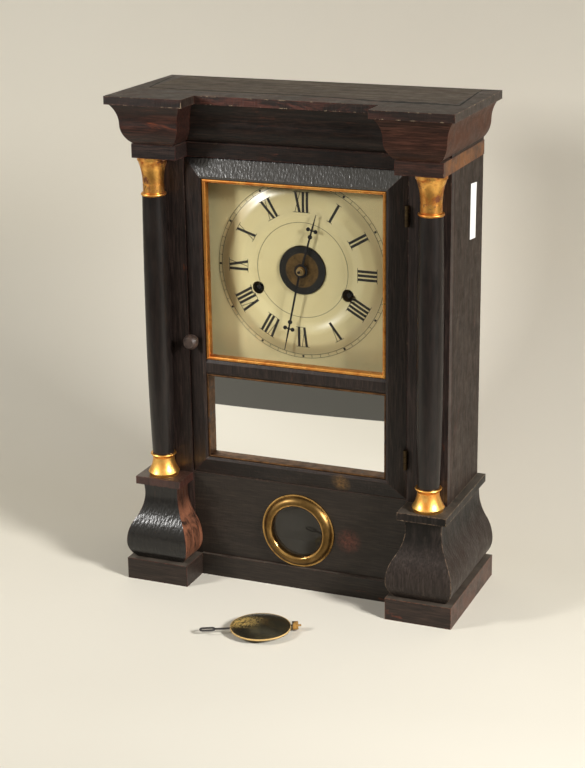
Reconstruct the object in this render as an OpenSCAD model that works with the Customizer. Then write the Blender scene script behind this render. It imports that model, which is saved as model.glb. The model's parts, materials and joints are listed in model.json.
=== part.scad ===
// Column and cornice shelf clock: a wooden case with turned gilt columns, a glazed door
// and a spring driven striking movement. The pendulum bob lies unhooked in front of it.
// Front faces -Y, +Z is up, and the origin is the middle of the underside.
// Depths are measured forwards from the back of the case: see fy().

/* [Case] */
// Overall height
clock_h = 406; // [396:1:416]
// Width across the side boards
case_w = 254.8; // [252:0.2:262]
// Depth from the back to the front of the face frame
case_d = 81.3; // [80:0.1:84]
// Thickness of a side board
side_t = 10; // [7:0.5:13]
// Thickness of the backboard
back_t = 6; // [4:0.5:8]
// Thickness of the bottom board
bottom_t = 8; // [5:0.5:12]
// Thickness of the face frame
face_t = 6.3; // [5:0.1:8]

/* [Base] */
// Width across the two plinths
plinth_w = 283.5; // [280:0.5:288]
// Depth of the plinth
plinth_d = 113.3; // [111:0.1:120]
// Height of the plinth
plinth_h = 18.2; // [14:0.2:22]
// Width of one plinth across the front
plinth_block_w = 54.85; // [52:0.05:57]
// Height of the top of the base blocks
base_h = 89.6; // [87:0.1:92]
// Thickness of the cap on a base block
cap_t = 6.5; // [4.5:0.1:7.5]
// How far the cap stands in from the plinth
cap_inset = 7.2; // [5:0.1:8]
// How far the neck of the ogee stands in from the plinth
neck_inset = 12.5; // [11:0.1:14]
// Height of the neck above the floor
neck_z = 75; // [72:0.5:77]
// Height of the belly above the floor
belly_z = 33; // [30:0.5:36]
// Upper radius of the belly
belly_r = 35.6; // [30:0.1:40]
// Radius that turns the belly under
belly_under_r = 20; // [17:0.5:26]
// Height of the skirting strip on the base panel
strip_h = 18.6; // [14:0.1:22]
// How far the skirting strip stands forward
strip_t = 2.8; // [1:0.1:4]

/* [Window] */
// Height of the centre of the bob window
window_z = 50.7; // [48:0.1:54]
// Radius across the outside of the brass bezel
bezel_r = 31.5; // [30:0.1:33]
// Radius of the glass that shows
window_r = 22; // [20:0.1:23]
// Height of the bezel's roll above the panel
bezel_h = 5; // [3:0.1:7]

/* [Cornice] */
// How far the top stands out past each side of the case
top_over = 14.1; // [13:0.1:15]
// Depth of the top over the columns
top_d = 119.8; // [118:0.1:123]
// Depth of the top between the column blocks
recess_d = 96.8; // [94:0.1:100]
// Half the width of the recess in the front
recess_half_w = 75.4; // [74:0.1:77]
// Thickness of the top
top_t = 6.5; // [5:0.1:8]
// Depth of the panel let into the top
top_panel_d = 75; // [66:1:79]
// Height of the cornice moulding itself
cornice_h = 32.5; // [31.5:0.1:33.5]
// How far the cornice springs out over its foot
cornice_out = 16.5; // [15:0.1:17]
// How far the cornice stands in at its middle
cornice_mid_inset = 8.3; // [7.5:0.1:9]
// How far the hollow stands in under the top
cornice_lip = 2.5; // [1.5:0.1:3.5]
// Height of the frieze
frieze_h = 11.2; // [10.5:0.1:12]
// Depth of the frieze blocks over the columns
frieze_d = 102.8; // [101:0.1:106]
// Half the clear width between the frieze blocks
frieze_half_gap = 89.8; // [88:0.1:92]
// Thickness of the frieze veneer on the case side
frieze_skin = 0.6; // [0.4:0.1:1.2]
// Thickness of the frieze band over the door
frieze_band_t = 1.6; // [1:0.1:2.4]

/* [Columns] */
// Distance of a column's axis from the middle
column_x = 115.3; // [115:0.1:117]
// Depth of the column's axis
column_d = 92; // [92:0.1:93]
// Radius at the column's fullest
shaft_r = 10.5; // [9.8:0.1:10.6]
// Radius under the capital
shaft_top_r = 9.3; // [9:0.1:10.2]
// Radius at the foot of the shaft
shaft_foot_r = 8.8; // [8:0.1:9.2]
// Height of the gilt capital
capital_h = 31; // [28:0.5:34]
// Radius at the top of the capital
capital_r = 12.2; // [11.5:0.1:12.8]
// Height of the gilt column base
column_base_h = 19; // [17:0.1:22]
// Radius at the fullest of the column base
column_base_r = 13; // [12.2:0.1:13.2]

/* [Door] */
// Half the width of the door
door_half_w = 93; // [92.5:0.1:93.5]
// How far the foot of the door lies above the base blocks
door_sill = 1.6; // [1:0.1:4]
// Clearance between the head of the door and the frieze
door_head_gap = 0.8; // [0.6:0.1:1.6]
// Width of a stile or rail
rail_w = 15.6; // [15:0.1:16]
// Depth of the door's back face
door_back_d = 70.5; // [70:0.1:71]
// Depth of the bevel's outer edge
door_edge_d = 80.5; // [79.5:0.1:81]
// Depth of the bevel's inner edge
door_front_d = 86.2; // [85:0.1:87]
// How far the foot of the middle rail lies below the middle of the dial
mid_rail_drop = 88.4; // [87:0.1:90]
// Height of the middle rail itself
mid_rail_h = 12; // [10:0.1:14]
// Clearance round the door
door_gap = 0.5; // [0.4:0.1:0.8]
// Thickness of the glass and of the mirror
glass_t = 2; // [1.5:0.1:2.5]
// Depth of the rebates that hold the glass and the mirror
rebate_depth = 8; // [6:0.1:9]
// Width of the gilt bead
bead_w = 3.4; // [3:0.1:5]
// How far the knob's axis lies above the middle rail
knob_rise = 16.1; // [12:0.1:24]
// Radius of the knob
knob_r = 6.2; // [5:0.1:6.5]
// Length of a hinge knuckle set
hinge_l = 16; // [12:1:20]
// Radius of a hinge knuckle
knuckle_r = 1.8; // [1.6:0.1:2]
// Radius of the hinge pin
hinge_pin_r = 0.8; // [0.6:0.05:0.9]

/* [Dial] */
// How far the middle of the dial lies below the head of the door's opening
dial_drop = 72.6; // [71.8:0.1:73.2]
// Half the width of the dial plate
dial_half_w = 84; // [82:0.5:88]
// Depth of the front of the dial plate
dial_d = 64.8; // [64.6:0.1:65.2]
// Thickness of the dial plate
dial_t = 0.8; // [0.6:0.1:1]
// Radius of the pressed ring that carries the numerals
chapter_r = 74; // [72:0.5:76]
// Radius of the hole in the middle
dial_hole_r = 20; // [19.5:0.1:21]
// Rise of the pressed ring
chapter_rise = 1; // [0.6:0.1:1.2]
// Distance of a winding hole from the middle
winding_x = 38.45; // [38:0.05:39]
// Drop of a winding hole below the middle
winding_drop = 17.5; // [17:0.1:18]
// Radius of a winding hole
winding_r = 5.2; // [4.8:0.1:5.6]
// Length of the minute hand
minute_l = 67; // [62:0.5:70]
// Length of the hour hand
hour_l = 48; // [44:0.5:52]
// Time shown, in minutes past twelve
shown_min = 32; // [0:1:719]
// Radius of the alarm disc
alarm_r = 19.4; // [18:0.1:19.4]

/* [Movement] */
// Thickness of a movement plate
plate_t = 1.6; // [1.2:0.1:2]
// Depth of the front of the back plate
back_plate_d = 15.6; // [15:0.1:16]
// Depth of the front of the front plate
front_plate_d = 41.6; // [41.4:0.1:42]
// Half the width of the plates
plate_half_w = 60; // [58:0.5:64]
// Radius of a mainspring
mainspring_r = 24; // [20:0.5:24.5]
// Sideways offset of the pendulum from the middle
pendulum_x = 9; // [8.5:0.1:9.5]
// Depth of the pendulum rod
pendulum_d = 52; // [51.8:0.1:52.5]
// How far the verge arbor lies above the middle of the dial
verge_rise = 58; // [57.6:0.1:58.6]
// How far the plates reach below the winding arbors
plate_drop = 44; // [42:0.5:48]
// Radius of an arbor
arbor_r = 1.5; // [1.3:0.1:1.6]
// Clearance of a pivot in its hole
pivot_gap = 0.05; // [0.03:0.01:0.08]

/* [Striking] */
// Height of the middle of the gong
gong_z = 96; // [90:1:104]
// Sideways place of the middle of the gong
gong_x = -46; // [-50:1:-44]
// How far the gong stands off the backboard
gong_stand = 12; // [10:0.5:12]
// Turns of the gong
gong_turns = 4; // [2:1:4]
// Radius of the gong's inner turn
gong_in_r = 12; // [9:0.5:13]
// Distance from one turn of the gong to the next
gong_pitch = 5; // [4:0.1:5.4]
// Radius of the gong's wire
gong_wire_r = 1.1; // [0.8:0.1:1.2]
// Length of the hammer's head
hammer_head_l = 12; // [9:0.5:14]

/* [Bob] */
// Radius of the bob
bob_r = 24; // [22:0.5:26]
// Thickness of the bob in the middle
bob_t = 9; // [8:0.5:11]
// Sideways place of the bob on the floor
bob_x = 4; // [0:1:8]
// Depth of the bob on the floor
bob_d = 170; // [165:1:175]
// Direction in which the bob's rod points, from +X
bob_turn = 26.7; // [0:0.1:60]
// How far the bob's wire stands out before its loop
bob_tail = 12; // [9:0.5:15]
// Length of the bob's loop
bob_loop_l = 9; // [7:0.5:11]
// Radius of the bob's wire
bob_wire_r = 0.8; // [0.6:0.05:1]

/* [Hidden] */
$fn = 64;

over = 1; // how far a cutting shape runs past a face
case_half_w = case_w / 2;
inner_half_w = case_half_w - side_t;
face_back_d = case_d - face_t;
case_top = clock_h - top_t;
top_w = case_w + 2 * top_over;
cornice_z = case_top - cornice_h;
frieze_z = cornice_z - frieze_h;
door_z = base_h + door_sill;
door_top = frieze_z - door_head_gap;
door_open_half_w = door_half_w - rail_w;
door_open_z = door_z + rail_w;
door_open_top = door_top - rail_w;
dial_z = door_open_top - dial_drop;
mid_rail_z = dial_z - mid_rail_drop;
mid_rail_top = mid_rail_z + mid_rail_h;
knob_z = mid_rail_top + knob_rise;
verge_z = dial_z + verge_rise;
panel_top = door_z - door_gap;
panel_d = case_d - 0.7;
wood = "#3a1d14";
brass = "#b08a3c";
gold = "#d9a441";
steel = "#5b5d63";

// y of a plane at depth d in front of the back of the case
function fy(d) = plinth_d / 2 - d;

// place of a clock-face point at radius r and clockwise angle a
function face_pt(r, a) = [r * sin(a), r * cos(a)];

// box between two x values, two depths and two heights
module board(x0, x1, d0, d1, z0, z1) {
    translate([x0, fy(d1), z0]) cube([x1 - x0, d1 - d0, z1 - z0]);
}

// extrudes an outline drawn in x and z, from depth d0 to depth d1
module along_depth(d0, d1) {
    translate([0, fy(d0), 0]) rotate([90, 0, 0]) linear_extrude(d1 - d0) children();
}

// extrudes an outline drawn in depth and z, from x0 to x1
module along_width(x0, x1) {
    translate([x0, fy(0), 0]) mirror([0, 1, 0]) rotate([90, 0, 90]) linear_extrude(x1 - x0) children();
}

// turns a shape on an axis that points to the front, at x and z, its z = 0 at depth d
module facing(x, z, d) {
    translate([x, fy(d), z]) rotate([90, 0, 0]) children();
}

module mirrored(side) {
    if (side < 0) mirror([1, 0, 0]) children();
    else children();
}

/* Base mouldings */

// Tangent circles of the ogee: the convex belly and the hollow neck, in distance
// behind the plinth's face and height.
neck_rise = neck_z - belly_z;
hollow_r = (pow(belly_r - neck_inset, 2) + pow(neck_rise, 2) - pow(belly_r, 2)) / (2 * neck_inset);
hollow_s = neck_inset - hollow_r;
tangent_share = belly_r / (belly_r + hollow_r);
tangent_z = belly_z + neck_rise * tangent_share;

// what the ogee takes away outside its curve, on one face
module ogee_cut() {
    difference() {
        translate([-over, belly_z]) square([belly_r + over, tangent_z - belly_z]);
        translate([belly_r, belly_z]) circle(belly_r, $fn = 96);
    }
    intersection() {
        translate([hollow_s, neck_z]) circle(hollow_r, $fn = 96);
        translate([-over, tangent_z]) square([neck_inset + 2 * over, base_h - cap_t - tangent_z]);
    }
    difference() {
        translate([-over, plinth_h]) square([belly_under_r + over, belly_z - plinth_h]);
        translate([belly_under_r, belly_z]) circle(belly_under_r, $fn = 96);
    }
    translate([-over, base_h - cap_t]) square([cap_inset + over, cap_t + over]);
}

// the clear space inside the case, which every wrapped moulding leaves free
module case_core(z0, z1) {
    board(-case_half_w, case_half_w, -over, case_d, z0, z1);
}

module base_block(side) {
    x1 = plinth_w / 2;
    x0 = x1 - plinth_block_w;
    color(wood) mirrored(side) difference() {
        intersection() {
            along_depth(0, plinth_d) difference() {
                translate([x0, plinth_h]) square([plinth_block_w, base_h - plinth_h]);
                translate([x1, 0]) mirror([1, 0]) ogee_cut();
                translate([x0, 0]) ogee_cut();
            }
            along_width(x0, x1) difference() {
                translate([0, plinth_h]) square([plinth_d, base_h - plinth_h]);
                translate([plinth_d, 0]) mirror([1, 0]) ogee_cut();
            }
        }
        case_core(plinth_h - over, base_h + over);
    }
}

module base_block_left() { base_block(-1); }
module base_block_right() { base_block(1); }

module plinth(side) {
    x1 = plinth_w / 2;
    color(wood) mirrored(side) difference() {
        board(x1 - plinth_block_w, x1, 0, plinth_d, 0, plinth_h);
        case_core(-over, plinth_h + over);
    }
}

module plinth_left() { plinth(-1); }
module plinth_right() { plinth(1); }

/* Case boards */

module side_board(side) {
    color(wood) mirrored(side) board(inner_half_w, case_half_w, 0, face_back_d, 0, case_top);
}

module left_side() { side_board(-1); }
module right_side() { side_board(1); }

module backboard() {
    color("#4a3020") board(-inner_half_w, inner_half_w, 0, back_t, bottom_t, case_top);
}

module bottom_board() {
    color("#5a4330") board(-inner_half_w, inner_half_w, 0, face_back_d, 0, bottom_t);
}

// upright of the face frame behind a column
module stile(side) {
    x0 = door_half_w + door_gap;
    color(wood) mirrored(side) difference() {
        union() {
            board(x0, case_half_w, face_back_d, case_d, 0, case_top);
            if (side < 0) board(x0, x0 + 9, latch_keeper_d, face_back_d, knob_z - 8, knob_z + 8);
        }
        if (side > 0) hinge_leaf_recess(x0 - over, x0 + leaf_t);
    }
}

module left_stile() { stile(-1); }
module right_stile() { stile(1); }

module base_panel() {
    strip_half_w = plinth_w / 2 - plinth_block_w;
    color(wood) difference() {
        union() {
            board(-door_half_w - door_gap, door_half_w + door_gap, face_back_d, panel_d, 0, panel_top);
            board(-strip_half_w, strip_half_w, panel_d, panel_d + strip_t, 0, strip_h);
        }
        facing(0, window_z, face_back_d - over) cylinder(r = window_seat_r, h = face_t + 2 * over);
    }
}

/* Bob window */

window_seat_r = window_r + 4;
window_glass_d = panel_d - glass_t - 0.4;

// rolled brass ring: a flange, a slope up to a rounded nose and a tube that enters the panel
module window_bezel() {
    flange_t = 1;
    flange_w = 1.4;
    nose_r = 2.3;
    nose_x = window_r + nose_r;
    slope_w = bezel_r - flange_w - nose_x;
    slope_r = (pow(slope_w, 2) + pow(bezel_h, 2)) / (2 * bezel_h);
    color(brass) facing(0, window_z, panel_d) rotate_extrude($fn = 96) {
        translate([nose_x, 0]) square([bezel_r - nose_x, flange_t]);
        intersection() {
            translate([nose_x, bezel_h - slope_r]) circle(slope_r, $fn = 256);
            translate([nose_x, 0]) square([slope_w, bezel_h]);
        }
        translate([nose_x, bezel_h - nose_r + 0.05]) circle(nose_r, $fn = 48);
        translate([window_r, 0]) square([nose_r + 0.5, bezel_h - nose_r]);
        translate([window_r, -0.4]) square([window_seat_r - window_r - 0.05, flange_t]);
    }
}

module window_glass() {
    color([0.3, 0.33, 0.33, 0.4]) facing(0, window_z, window_glass_d)
        cylinder(r = window_seat_r - 0.1, h = glass_t, $fn = 96);
}

/* Cornice and top */

// Two circles share the upright tangent at the middle of the moulding.
cornice_mid_z = cornice_z + cornice_h * 0.5;
upper_h = case_top - cornice_mid_z;
upper_in = cornice_mid_inset - cornice_lip;
cove_r = (pow(upper_in, 2) + pow(upper_h, 2)) / (2 * upper_in);
lower_h = cornice_mid_z - cornice_z;
lower_in = cornice_out - cornice_mid_inset;
ovolo_r = (pow(lower_in, 2) + pow(lower_h, 2)) / (2 * lower_in);

// what the cornice takes away outside its curve, on one face
module cornice_cut() {
    intersection() {
        translate([cornice_mid_inset - cove_r, cornice_mid_z]) circle(cove_r, $fn = 96);
        translate([-over, cornice_mid_z]) square([cornice_mid_inset + 2 * over, upper_h + over]);
    }
    difference() {
        translate([-over, cornice_z - over]) square([ovolo_r + over, lower_h + over]);
        translate([cornice_mid_inset + ovolo_r, cornice_mid_z]) circle(ovolo_r, $fn = 96);
    }
}

module cornice_wing(side) {
    x1 = top_w / 2;
    x0 = recess_half_w;
    color(wood) mirrored(side) difference() {
        intersection() {
            along_depth(0, top_d) difference() {
                translate([x0, cornice_z]) square([x1 - x0, cornice_h]);
                translate([x1, 0]) mirror([1, 0]) cornice_cut();
                translate([x0, 0]) cornice_cut();
            }
            along_width(x0, x1) difference() {
                translate([0, cornice_z]) square([top_d, cornice_h]);
                translate([top_d, 0]) mirror([1, 0]) cornice_cut();
            }
        }
        case_core(cornice_z - over, case_top + over);
    }
}

module cornice_left() { cornice_wing(-1); }
module cornice_right() { cornice_wing(1); }

// moulding over the door, run on behind the curved ends of the wings, the board
// it is glued to and the frieze band below it
module cornice_center() {
    seat_half_w = door_half_w + door_gap;
    color(wood) {
        intersection() {
            along_width(-seat_half_w, seat_half_w) difference() {
                translate([case_d, cornice_z]) square([recess_d - case_d, cornice_h]);
                translate([recess_d, 0]) mirror([1, 0]) cornice_cut();
            }
            along_depth(case_d, recess_d) {
                translate([-recess_half_w, cornice_z]) square([2 * recess_half_w, cornice_h]);
                for (s = [0, 1]) mirror([s, 0]) translate([recess_half_w, 0]) cornice_cut();
            }
        }
        board(-seat_half_w, seat_half_w, face_back_d, case_d, door_top + door_gap, case_top);
        board(-frieze_half_gap, frieze_half_gap, case_d, case_d + frieze_band_t, frieze_z, cornice_z);
    }
}

module frieze_block(side) {
    color(wood) mirrored(side) difference() {
        board(frieze_half_gap, case_half_w + frieze_skin, 0, frieze_d, frieze_z, cornice_z);
        case_core(frieze_z - over, cornice_z + over);
    }
}

module frieze_block_left() { frieze_block(-1); }
module frieze_block_right() { frieze_block(1); }

// moulded edge of the top: front with its recess, and both sides
module top_rim() {
    color(wood) difference() {
        board(-top_w / 2, top_w / 2, 0, top_d, case_top, clock_h);
        board(-case_half_w, case_half_w, -over, top_panel_d, case_top - over, clock_h + over);
        board(-recess_half_w, recess_half_w, recess_d, top_d + over, case_top - over, clock_h + over);
    }
}

module top_board() {
    color("#4b4038") board(-case_half_w, case_half_w, 0, top_panel_d, case_top, clock_h);
}

/* Columns */

// a solid turned on a column's axis, from a profile of radius and height
module turned(side) {
    mirrored(side) intersection() {
        translate([column_x, fy(column_d), 0]) rotate_extrude($fn = 96) children();
        board(column_x - 40, column_x + 40, case_d, plinth_d + 20, base_h, frieze_z);
    }
}

shaft_z = base_h + column_base_h;
shaft_top = frieze_z - capital_h;
full_z = shaft_z + (shaft_top - shaft_z) * 0.45;

// radius of the shaft's swelling at a share t of a stretch that starts full
function swell(r_full, r_end, t) = r_full - (r_full - r_end) * t * t;

module column(side) {
    steps = 6;
    color("#1d1512") turned(side) polygon(concat(
        [[0, shaft_z]],
        [for (i = [steps:-1:1]) [swell(shaft_r, shaft_foot_r, i / steps),
            full_z - (full_z - shaft_z) * i / steps]],
        [for (i = [0:steps]) [swell(shaft_r, shaft_top_r, i / steps),
            full_z + (shaft_top - full_z) * i / steps]],
        [[0, shaft_top]]));
}

module column_left() { column(-1); }
module column_right() { column(1); }

// bell of the capital, hollow in outline, with a lip above and a ring below
module capital(side) {
    lip_h = 2.6;
    waist_r = shaft_top_r - 0.9;
    waist_z = shaft_top + capital_h * 0.32;
    ring_r = 1.3;
    bell_top = frieze_z - lip_h;
    bell_h = bell_top - waist_z;
    bell_in = capital_r - 0.4 - waist_r;
    bell_r = (pow(bell_in, 2) + pow(bell_h, 2)) / (2 * bell_in);
    color(gold) turned(side) {
        difference() {
            translate([0, shaft_top]) square([capital_r, capital_h]);
            intersection() {
                translate([waist_r + bell_r, waist_z]) circle(bell_r, $fn = 128);
                translate([0, waist_z]) square([capital_r + over, bell_h]);
            }
            translate([waist_r, shaft_top - over]) square([capital_r, waist_z - shaft_top + over]);
            translate([waist_r - 0.3, waist_z - 0.4]) square([over, 0.8]);
        }
        translate([shaft_top_r - 0.4, shaft_top + ring_r]) circle(ring_r, $fn = 32);
        translate([0, shaft_top]) square([shaft_top_r - 0.4, 2 * ring_r]);
    }
}

module capital_left() { capital(-1); }
module capital_right() { capital(1); }

// vase-shaped foot of the column, with a flared collar
module column_base(side) {
    collar_h = 3.4;
    neck_r = shaft_foot_r - 0.1;
    full_r = 7;
    neck_top = shaft_z - collar_h;
    color(gold) turned(side) {
        polygon([[0, neck_top], [neck_r, neck_top], [shaft_foot_r + 1.9, shaft_z - 0.6],
            [shaft_foot_r + 1.5, shaft_z], [0, shaft_z]]);
        difference() {
            polygon([[0, base_h], [column_base_r - 1.2, base_h], [column_base_r, base_h + 3.4],
                [column_base_r, neck_top], [0, neck_top]]);
            translate([neck_r + 24, neck_top + 1]) circle(24, $fn = 128);
        }
    }
}

module column_base_left() { column_base(-1); }
module column_base_right() { column_base(1); }

/* Door */

// section of a door rail: x across the rail from its outer edge, y is depth
rebate_w = 4;
rebate_d = door_back_d + rebate_depth;
module rail_section() {
    difference() {
        polygon([[0, door_back_d], [0, door_edge_d], [rail_w - 2, door_front_d],
            [rail_w, door_front_d - 0.8], [rail_w, door_back_d]]);
        translate([rail_w - rebate_w, door_back_d - over])
            square([rebate_w + over, rebate_d - door_back_d + over]);
    }
}

// the four-sided mitred outline of one side of the door frame: 0 foot, 1 right, 2 head, 3 left
function mitre_outline(k) =
    let (o = [[-door_half_w, door_z], [door_half_w, door_z],
            [door_half_w, door_top], [-door_half_w, door_top]],
        i = [[-door_open_half_w, door_open_z], [door_open_half_w, door_open_z],
            [door_open_half_w, door_open_top], [-door_open_half_w, door_open_top]])
    [o[k], o[(k + 1) % 4], i[(k + 1) % 4], i[k]];

module mitre_wedge(k) {
    along_depth(door_back_d - over, door_front_d + over) polygon(mitre_outline(k));
}

// section laid over the door's width, its outer edge at a height, up (1) or down (-1)
module level_rail(z_edge, up) {
    translate([0, 0, z_edge]) mirror([0, 0, up > 0 ? 0 : 1])
        along_width(-door_half_w, door_half_w) mirror([1, -1]) children();
}

module upright_rail(side) {
    mirrored(side) translate([door_half_w, fy(0), door_z])
        linear_extrude(door_top - door_z) rotate(180) children();
}

module door_top_rail() {
    color(wood) intersection() {
        level_rail(door_top, -1) rail_section();
        mitre_wedge(2);
    }
}

module door_bottom_rail() {
    color(wood) intersection() {
        level_rail(door_z, 1) rail_section();
        mitre_wedge(0);
    }
}

module door_left_stile() {
    color(wood) difference() {
        intersection() {
            upright_rail(-1) rail_section();
            mitre_wedge(3);
        }
        facing(-knob_x, knob_z, door_back_d - over)
            cylinder(r = spindle_r + pivot_gap, h = door_front_d - door_back_d + 2 * over, $fn = 32);
    }
}

module door_right_stile() {
    color(wood) difference() {
        intersection() {
            upright_rail(1) rail_section();
            mitre_wedge(1);
        }
        hinge_leaf_recess(door_half_w - leaf_t, door_half_w + over);
    }
}

module door_mid_rail() {
    bevel = 1.2;
    front = door_front_d - 1;
    color(wood) along_width(-door_open_half_w, door_open_half_w) difference() {
        polygon([[door_back_d, mid_rail_z], [front - bevel, mid_rail_z], [front, mid_rail_z + 2 * bevel],
            [front, mid_rail_top - 2 * bevel], [front - bevel, mid_rail_top], [door_back_d, mid_rail_top]]);
        for (z = [mid_rail_top - rebate_w, mid_rail_z - over])
            translate([door_back_d - over, z]) square([rebate_d - door_back_d + over, rebate_w + over]);
    }
}

// mitred bead of four half-round bars round an opening, its back on the glass
module bead_frame(half_w, z0, z1, w) {
    for (k = [0:3]) intersection() {
        if (k % 2 == 0) {
            translate([-half_w, fy(rebate_d), k == 0 ? z0 + w / 2 : z1 - w / 2])
                rotate([90, 0, 90]) linear_extrude(2 * half_w) rotate(180) bead_section(w);
        } else {
            translate([k == 1 ? half_w - w / 2 : -half_w + w / 2, fy(rebate_d), z0])
                linear_extrude(z1 - z0) rotate(-90) bead_section(w);
        }
        along_depth(rebate_d - over, door_front_d + over) polygon(bead_wedge(k, half_w, z0, z1, w));
    }
}

function bead_wedge(k, h, z0, z1, w) =
    let (o = [[-h, z0], [h, z0], [h, z1], [-h, z1]],
        i = [[-h + w, z0 + w], [h - w, z0 + w], [h - w, z1 - w], [-h + w, z1 - w]])
    [o[k], o[(k + 1) % 4], i[(k + 1) % 4], i[k]];

// half-round bead on a square foot: x is its height over the glass
module bead_section(w) {
    foot = door_front_d - rebate_d - w / 2 - 1.4;
    translate([0, -w / 2]) square([foot, w]);
    intersection() {
        translate([foot, 0]) circle(w / 2, $fn = 32);
        translate([foot, -w / 2]) square([w, w]);
    }
}

module dial_bead() {
    color(gold) bead_frame(door_open_half_w, mid_rail_top, door_open_top, bead_w);
}

module mirror_bead() {
    color("#5a3a24") bead_frame(door_open_half_w, door_open_z, mid_rail_z, bead_w / 2);
}

module pane(z0, z1) {
    seat = rebate_w - 0.3;
    board(-door_open_half_w - seat, door_open_half_w + seat, rebate_d - glass_t, rebate_d, z0, z1);
}

pane_split = 0.3;
module dial_glass() {
    color([0.85, 0.9, 0.9, 0.2]) pane(mid_rail_top - rebate_w + pane_split, door_open_top + rebate_w - 0.3);
}

module mirror_plate() {
    color("#c8ccd0") pane(door_open_z - rebate_w + 0.3, mid_rail_z + rebate_w - pane_split);
}

/* Door hinges */

hinge_x = door_half_w + door_gap / 2;
hinge_d = case_d + knuckle_r + 0.2;
hinge_places = [door_z + 34, door_top - 34];
leaf_t = 0.7;
knuckle_gap = 0.2;
third_l = hinge_l / 3;
leaf_back_d = face_back_d + 1.5;

// shallow housings for the leaves, cut into an edge between two x values
module hinge_leaf_recess(x0, x1) {
    for (z = hinge_places)
        board(x0, x1, leaf_back_d, hinge_d, z - hinge_l / 2 - knuckle_gap, z + hinge_l / 2 + knuckle_gap);
}

module knuckle(z0, l) {
    translate([hinge_x, fy(hinge_d), z0]) cylinder(r = knuckle_r, h = l, $fn = 48);
}

// the two outer knuckles of each hinge, its pin and the leaf on the face frame
module case_hinge_leaves() {
    color(brass) for (z = hinge_places) {
        foot = z - hinge_l / 2;
        x0 = door_half_w + door_gap;
        l = third_l - knuckle_gap;
        translate([hinge_x, fy(hinge_d), foot]) cylinder(r = hinge_pin_r, h = hinge_l, $fn = 32);
        for (z0 = [foot, foot + 2 * third_l + knuckle_gap]) {
            knuckle(z0, l);
            board(x0, x0 + leaf_t, leaf_back_d, hinge_d, z0, z0 + l);
        }
    }
}

module door_hinge_leaves() {
    color(brass) for (z = hinge_places) {
        z0 = z - third_l / 2 + knuckle_gap;
        l = third_l - 2 * knuckle_gap;
        difference() {
            union() {
                knuckle(z0, l);
                board(door_half_w - leaf_t, door_half_w, leaf_back_d, hinge_d, z0, z0 + l);
            }
            translate([hinge_x, fy(hinge_d), z0 - over])
                cylinder(r = hinge_pin_r + pivot_gap, h = l + 2 * over, $fn = 32);
        }
    }
}

/* Door knob */

spindle_r = 1.6;
knob_x = door_open_half_w + rail_w * 0.6;
latch_t = 1.6;
knob_gap = 0.5;
latch_d = door_back_d - latch_t - 0.6;
latch_keeper_d = latch_d + latch_t + 0.4;

// turned knob, its spindle through the stile and the latch tongue behind it
module door_knob() {
    neck_d = door_edge_d + (door_front_d - door_edge_d) * 0.75 + knob_gap;
    color("#1c1512") facing(-knob_x, knob_z, latch_d) {
        cylinder(r = spindle_r, h = neck_d + 3 - latch_d, $fn = 32);
        translate([0, 0, neck_d - latch_d]) rotate_extrude($fn = 64) {
            square([3.4, 4]);
            intersection() {
                translate([0, knob_r * 0.92 + 1.4]) circle(knob_r, $fn = 64);
                translate([0, 1.4]) square([knob_r + over, knob_r * 1.7]);
            }
        }
        cylinder(r = 3.2, h = latch_t, $fn = 32);
        translate([-2.4, -13, 0]) cube([4.8, 13, latch_t]);
    }
}

/* Dial and hands */

dial_foot = dial_z - dial_half_w;
dial_head = dial_z + dial_half_w;
alarm_d = dial_d + 0.4;
hour_hand_d = dial_d + 3.2;
minute_hand_d = hour_hand_d + 2.2;
hand_t = 0.7;
minute_angle = shown_min * 6;
hour_angle = shown_min * 0.5;

module dial_plate() {
    crown_w = (chapter_r - dial_hole_r - 16) / 2;
    crown_r = (pow(crown_w, 2) + pow(chapter_rise, 2)) / (2 * chapter_rise);
    color("#e6dcb8") difference() {
        union() {
            board(-dial_half_w, dial_half_w, dial_d - dial_t, dial_d, dial_foot, dial_head);
            facing(0, dial_z, dial_d) rotate_extrude($fn = 128) intersection() {
                translate([chapter_r - crown_w, chapter_rise - crown_r]) circle(crown_r, $fn = 256);
                translate([chapter_r - 2 * crown_w, -dial_t / 2])
                    square([2 * crown_w, dial_t + chapter_rise]);
            }
        }
        facing(0, dial_z, dial_d - dial_t - over) cylinder(r = dial_hole_r, h = 10, $fn = 96);
        for (s = [-1, 1])
            facing(s * winding_x, dial_z - winding_drop, dial_d - dial_t - over)
                cylinder(r = winding_r, h = 10, $fn = 48);
    }
}

// battens glued inside the case, which the dial plate is pinned to
module dial_supports() {
    batten_t = 8;
    color("#5a4330") for (s = [0, 1]) mirror([s, 0, 0])
        board(dial_half_w - 6, inner_half_w, dial_d - dial_t - batten_t, dial_d - dial_t,
            dial_foot, dial_head);
}

// one hand, drawn upright round its hub: tapered blade, three balls and a thin tip
module hand_outline(l, hub_r) {
    cross_at = l * 0.725;
    cross_half_w = 3.2;
    stem_ball_at = cross_at - 5.6;
    circle(hub_r, $fn = 48);
    polygon([[-0.9, 0], [0.9, 0], [0.6, cross_at], [-0.6, cross_at]]);
    polygon([[-0.8, cross_at - 1], [0.8, cross_at - 1], [0.15, l], [-0.15, l]]);
    translate([0, stem_ball_at]) circle(1.8, $fn = 24);
    for (s = [-1, 1]) translate([s * cross_half_w, cross_at]) circle(1.6, $fn = 24);
    translate([-cross_half_w, cross_at - 0.5]) square([2 * cross_half_w, 1]);
}

module placed_hand(l, angle, d, bore) {
    translate([0, fy(d), dial_z]) rotate([0, angle, 0]) rotate([90, 0, 0])
        linear_extrude(hand_t) difference() {
            hand_outline(l, bore + 2);
            circle(bore, $fn = 32);
        }
}

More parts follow.
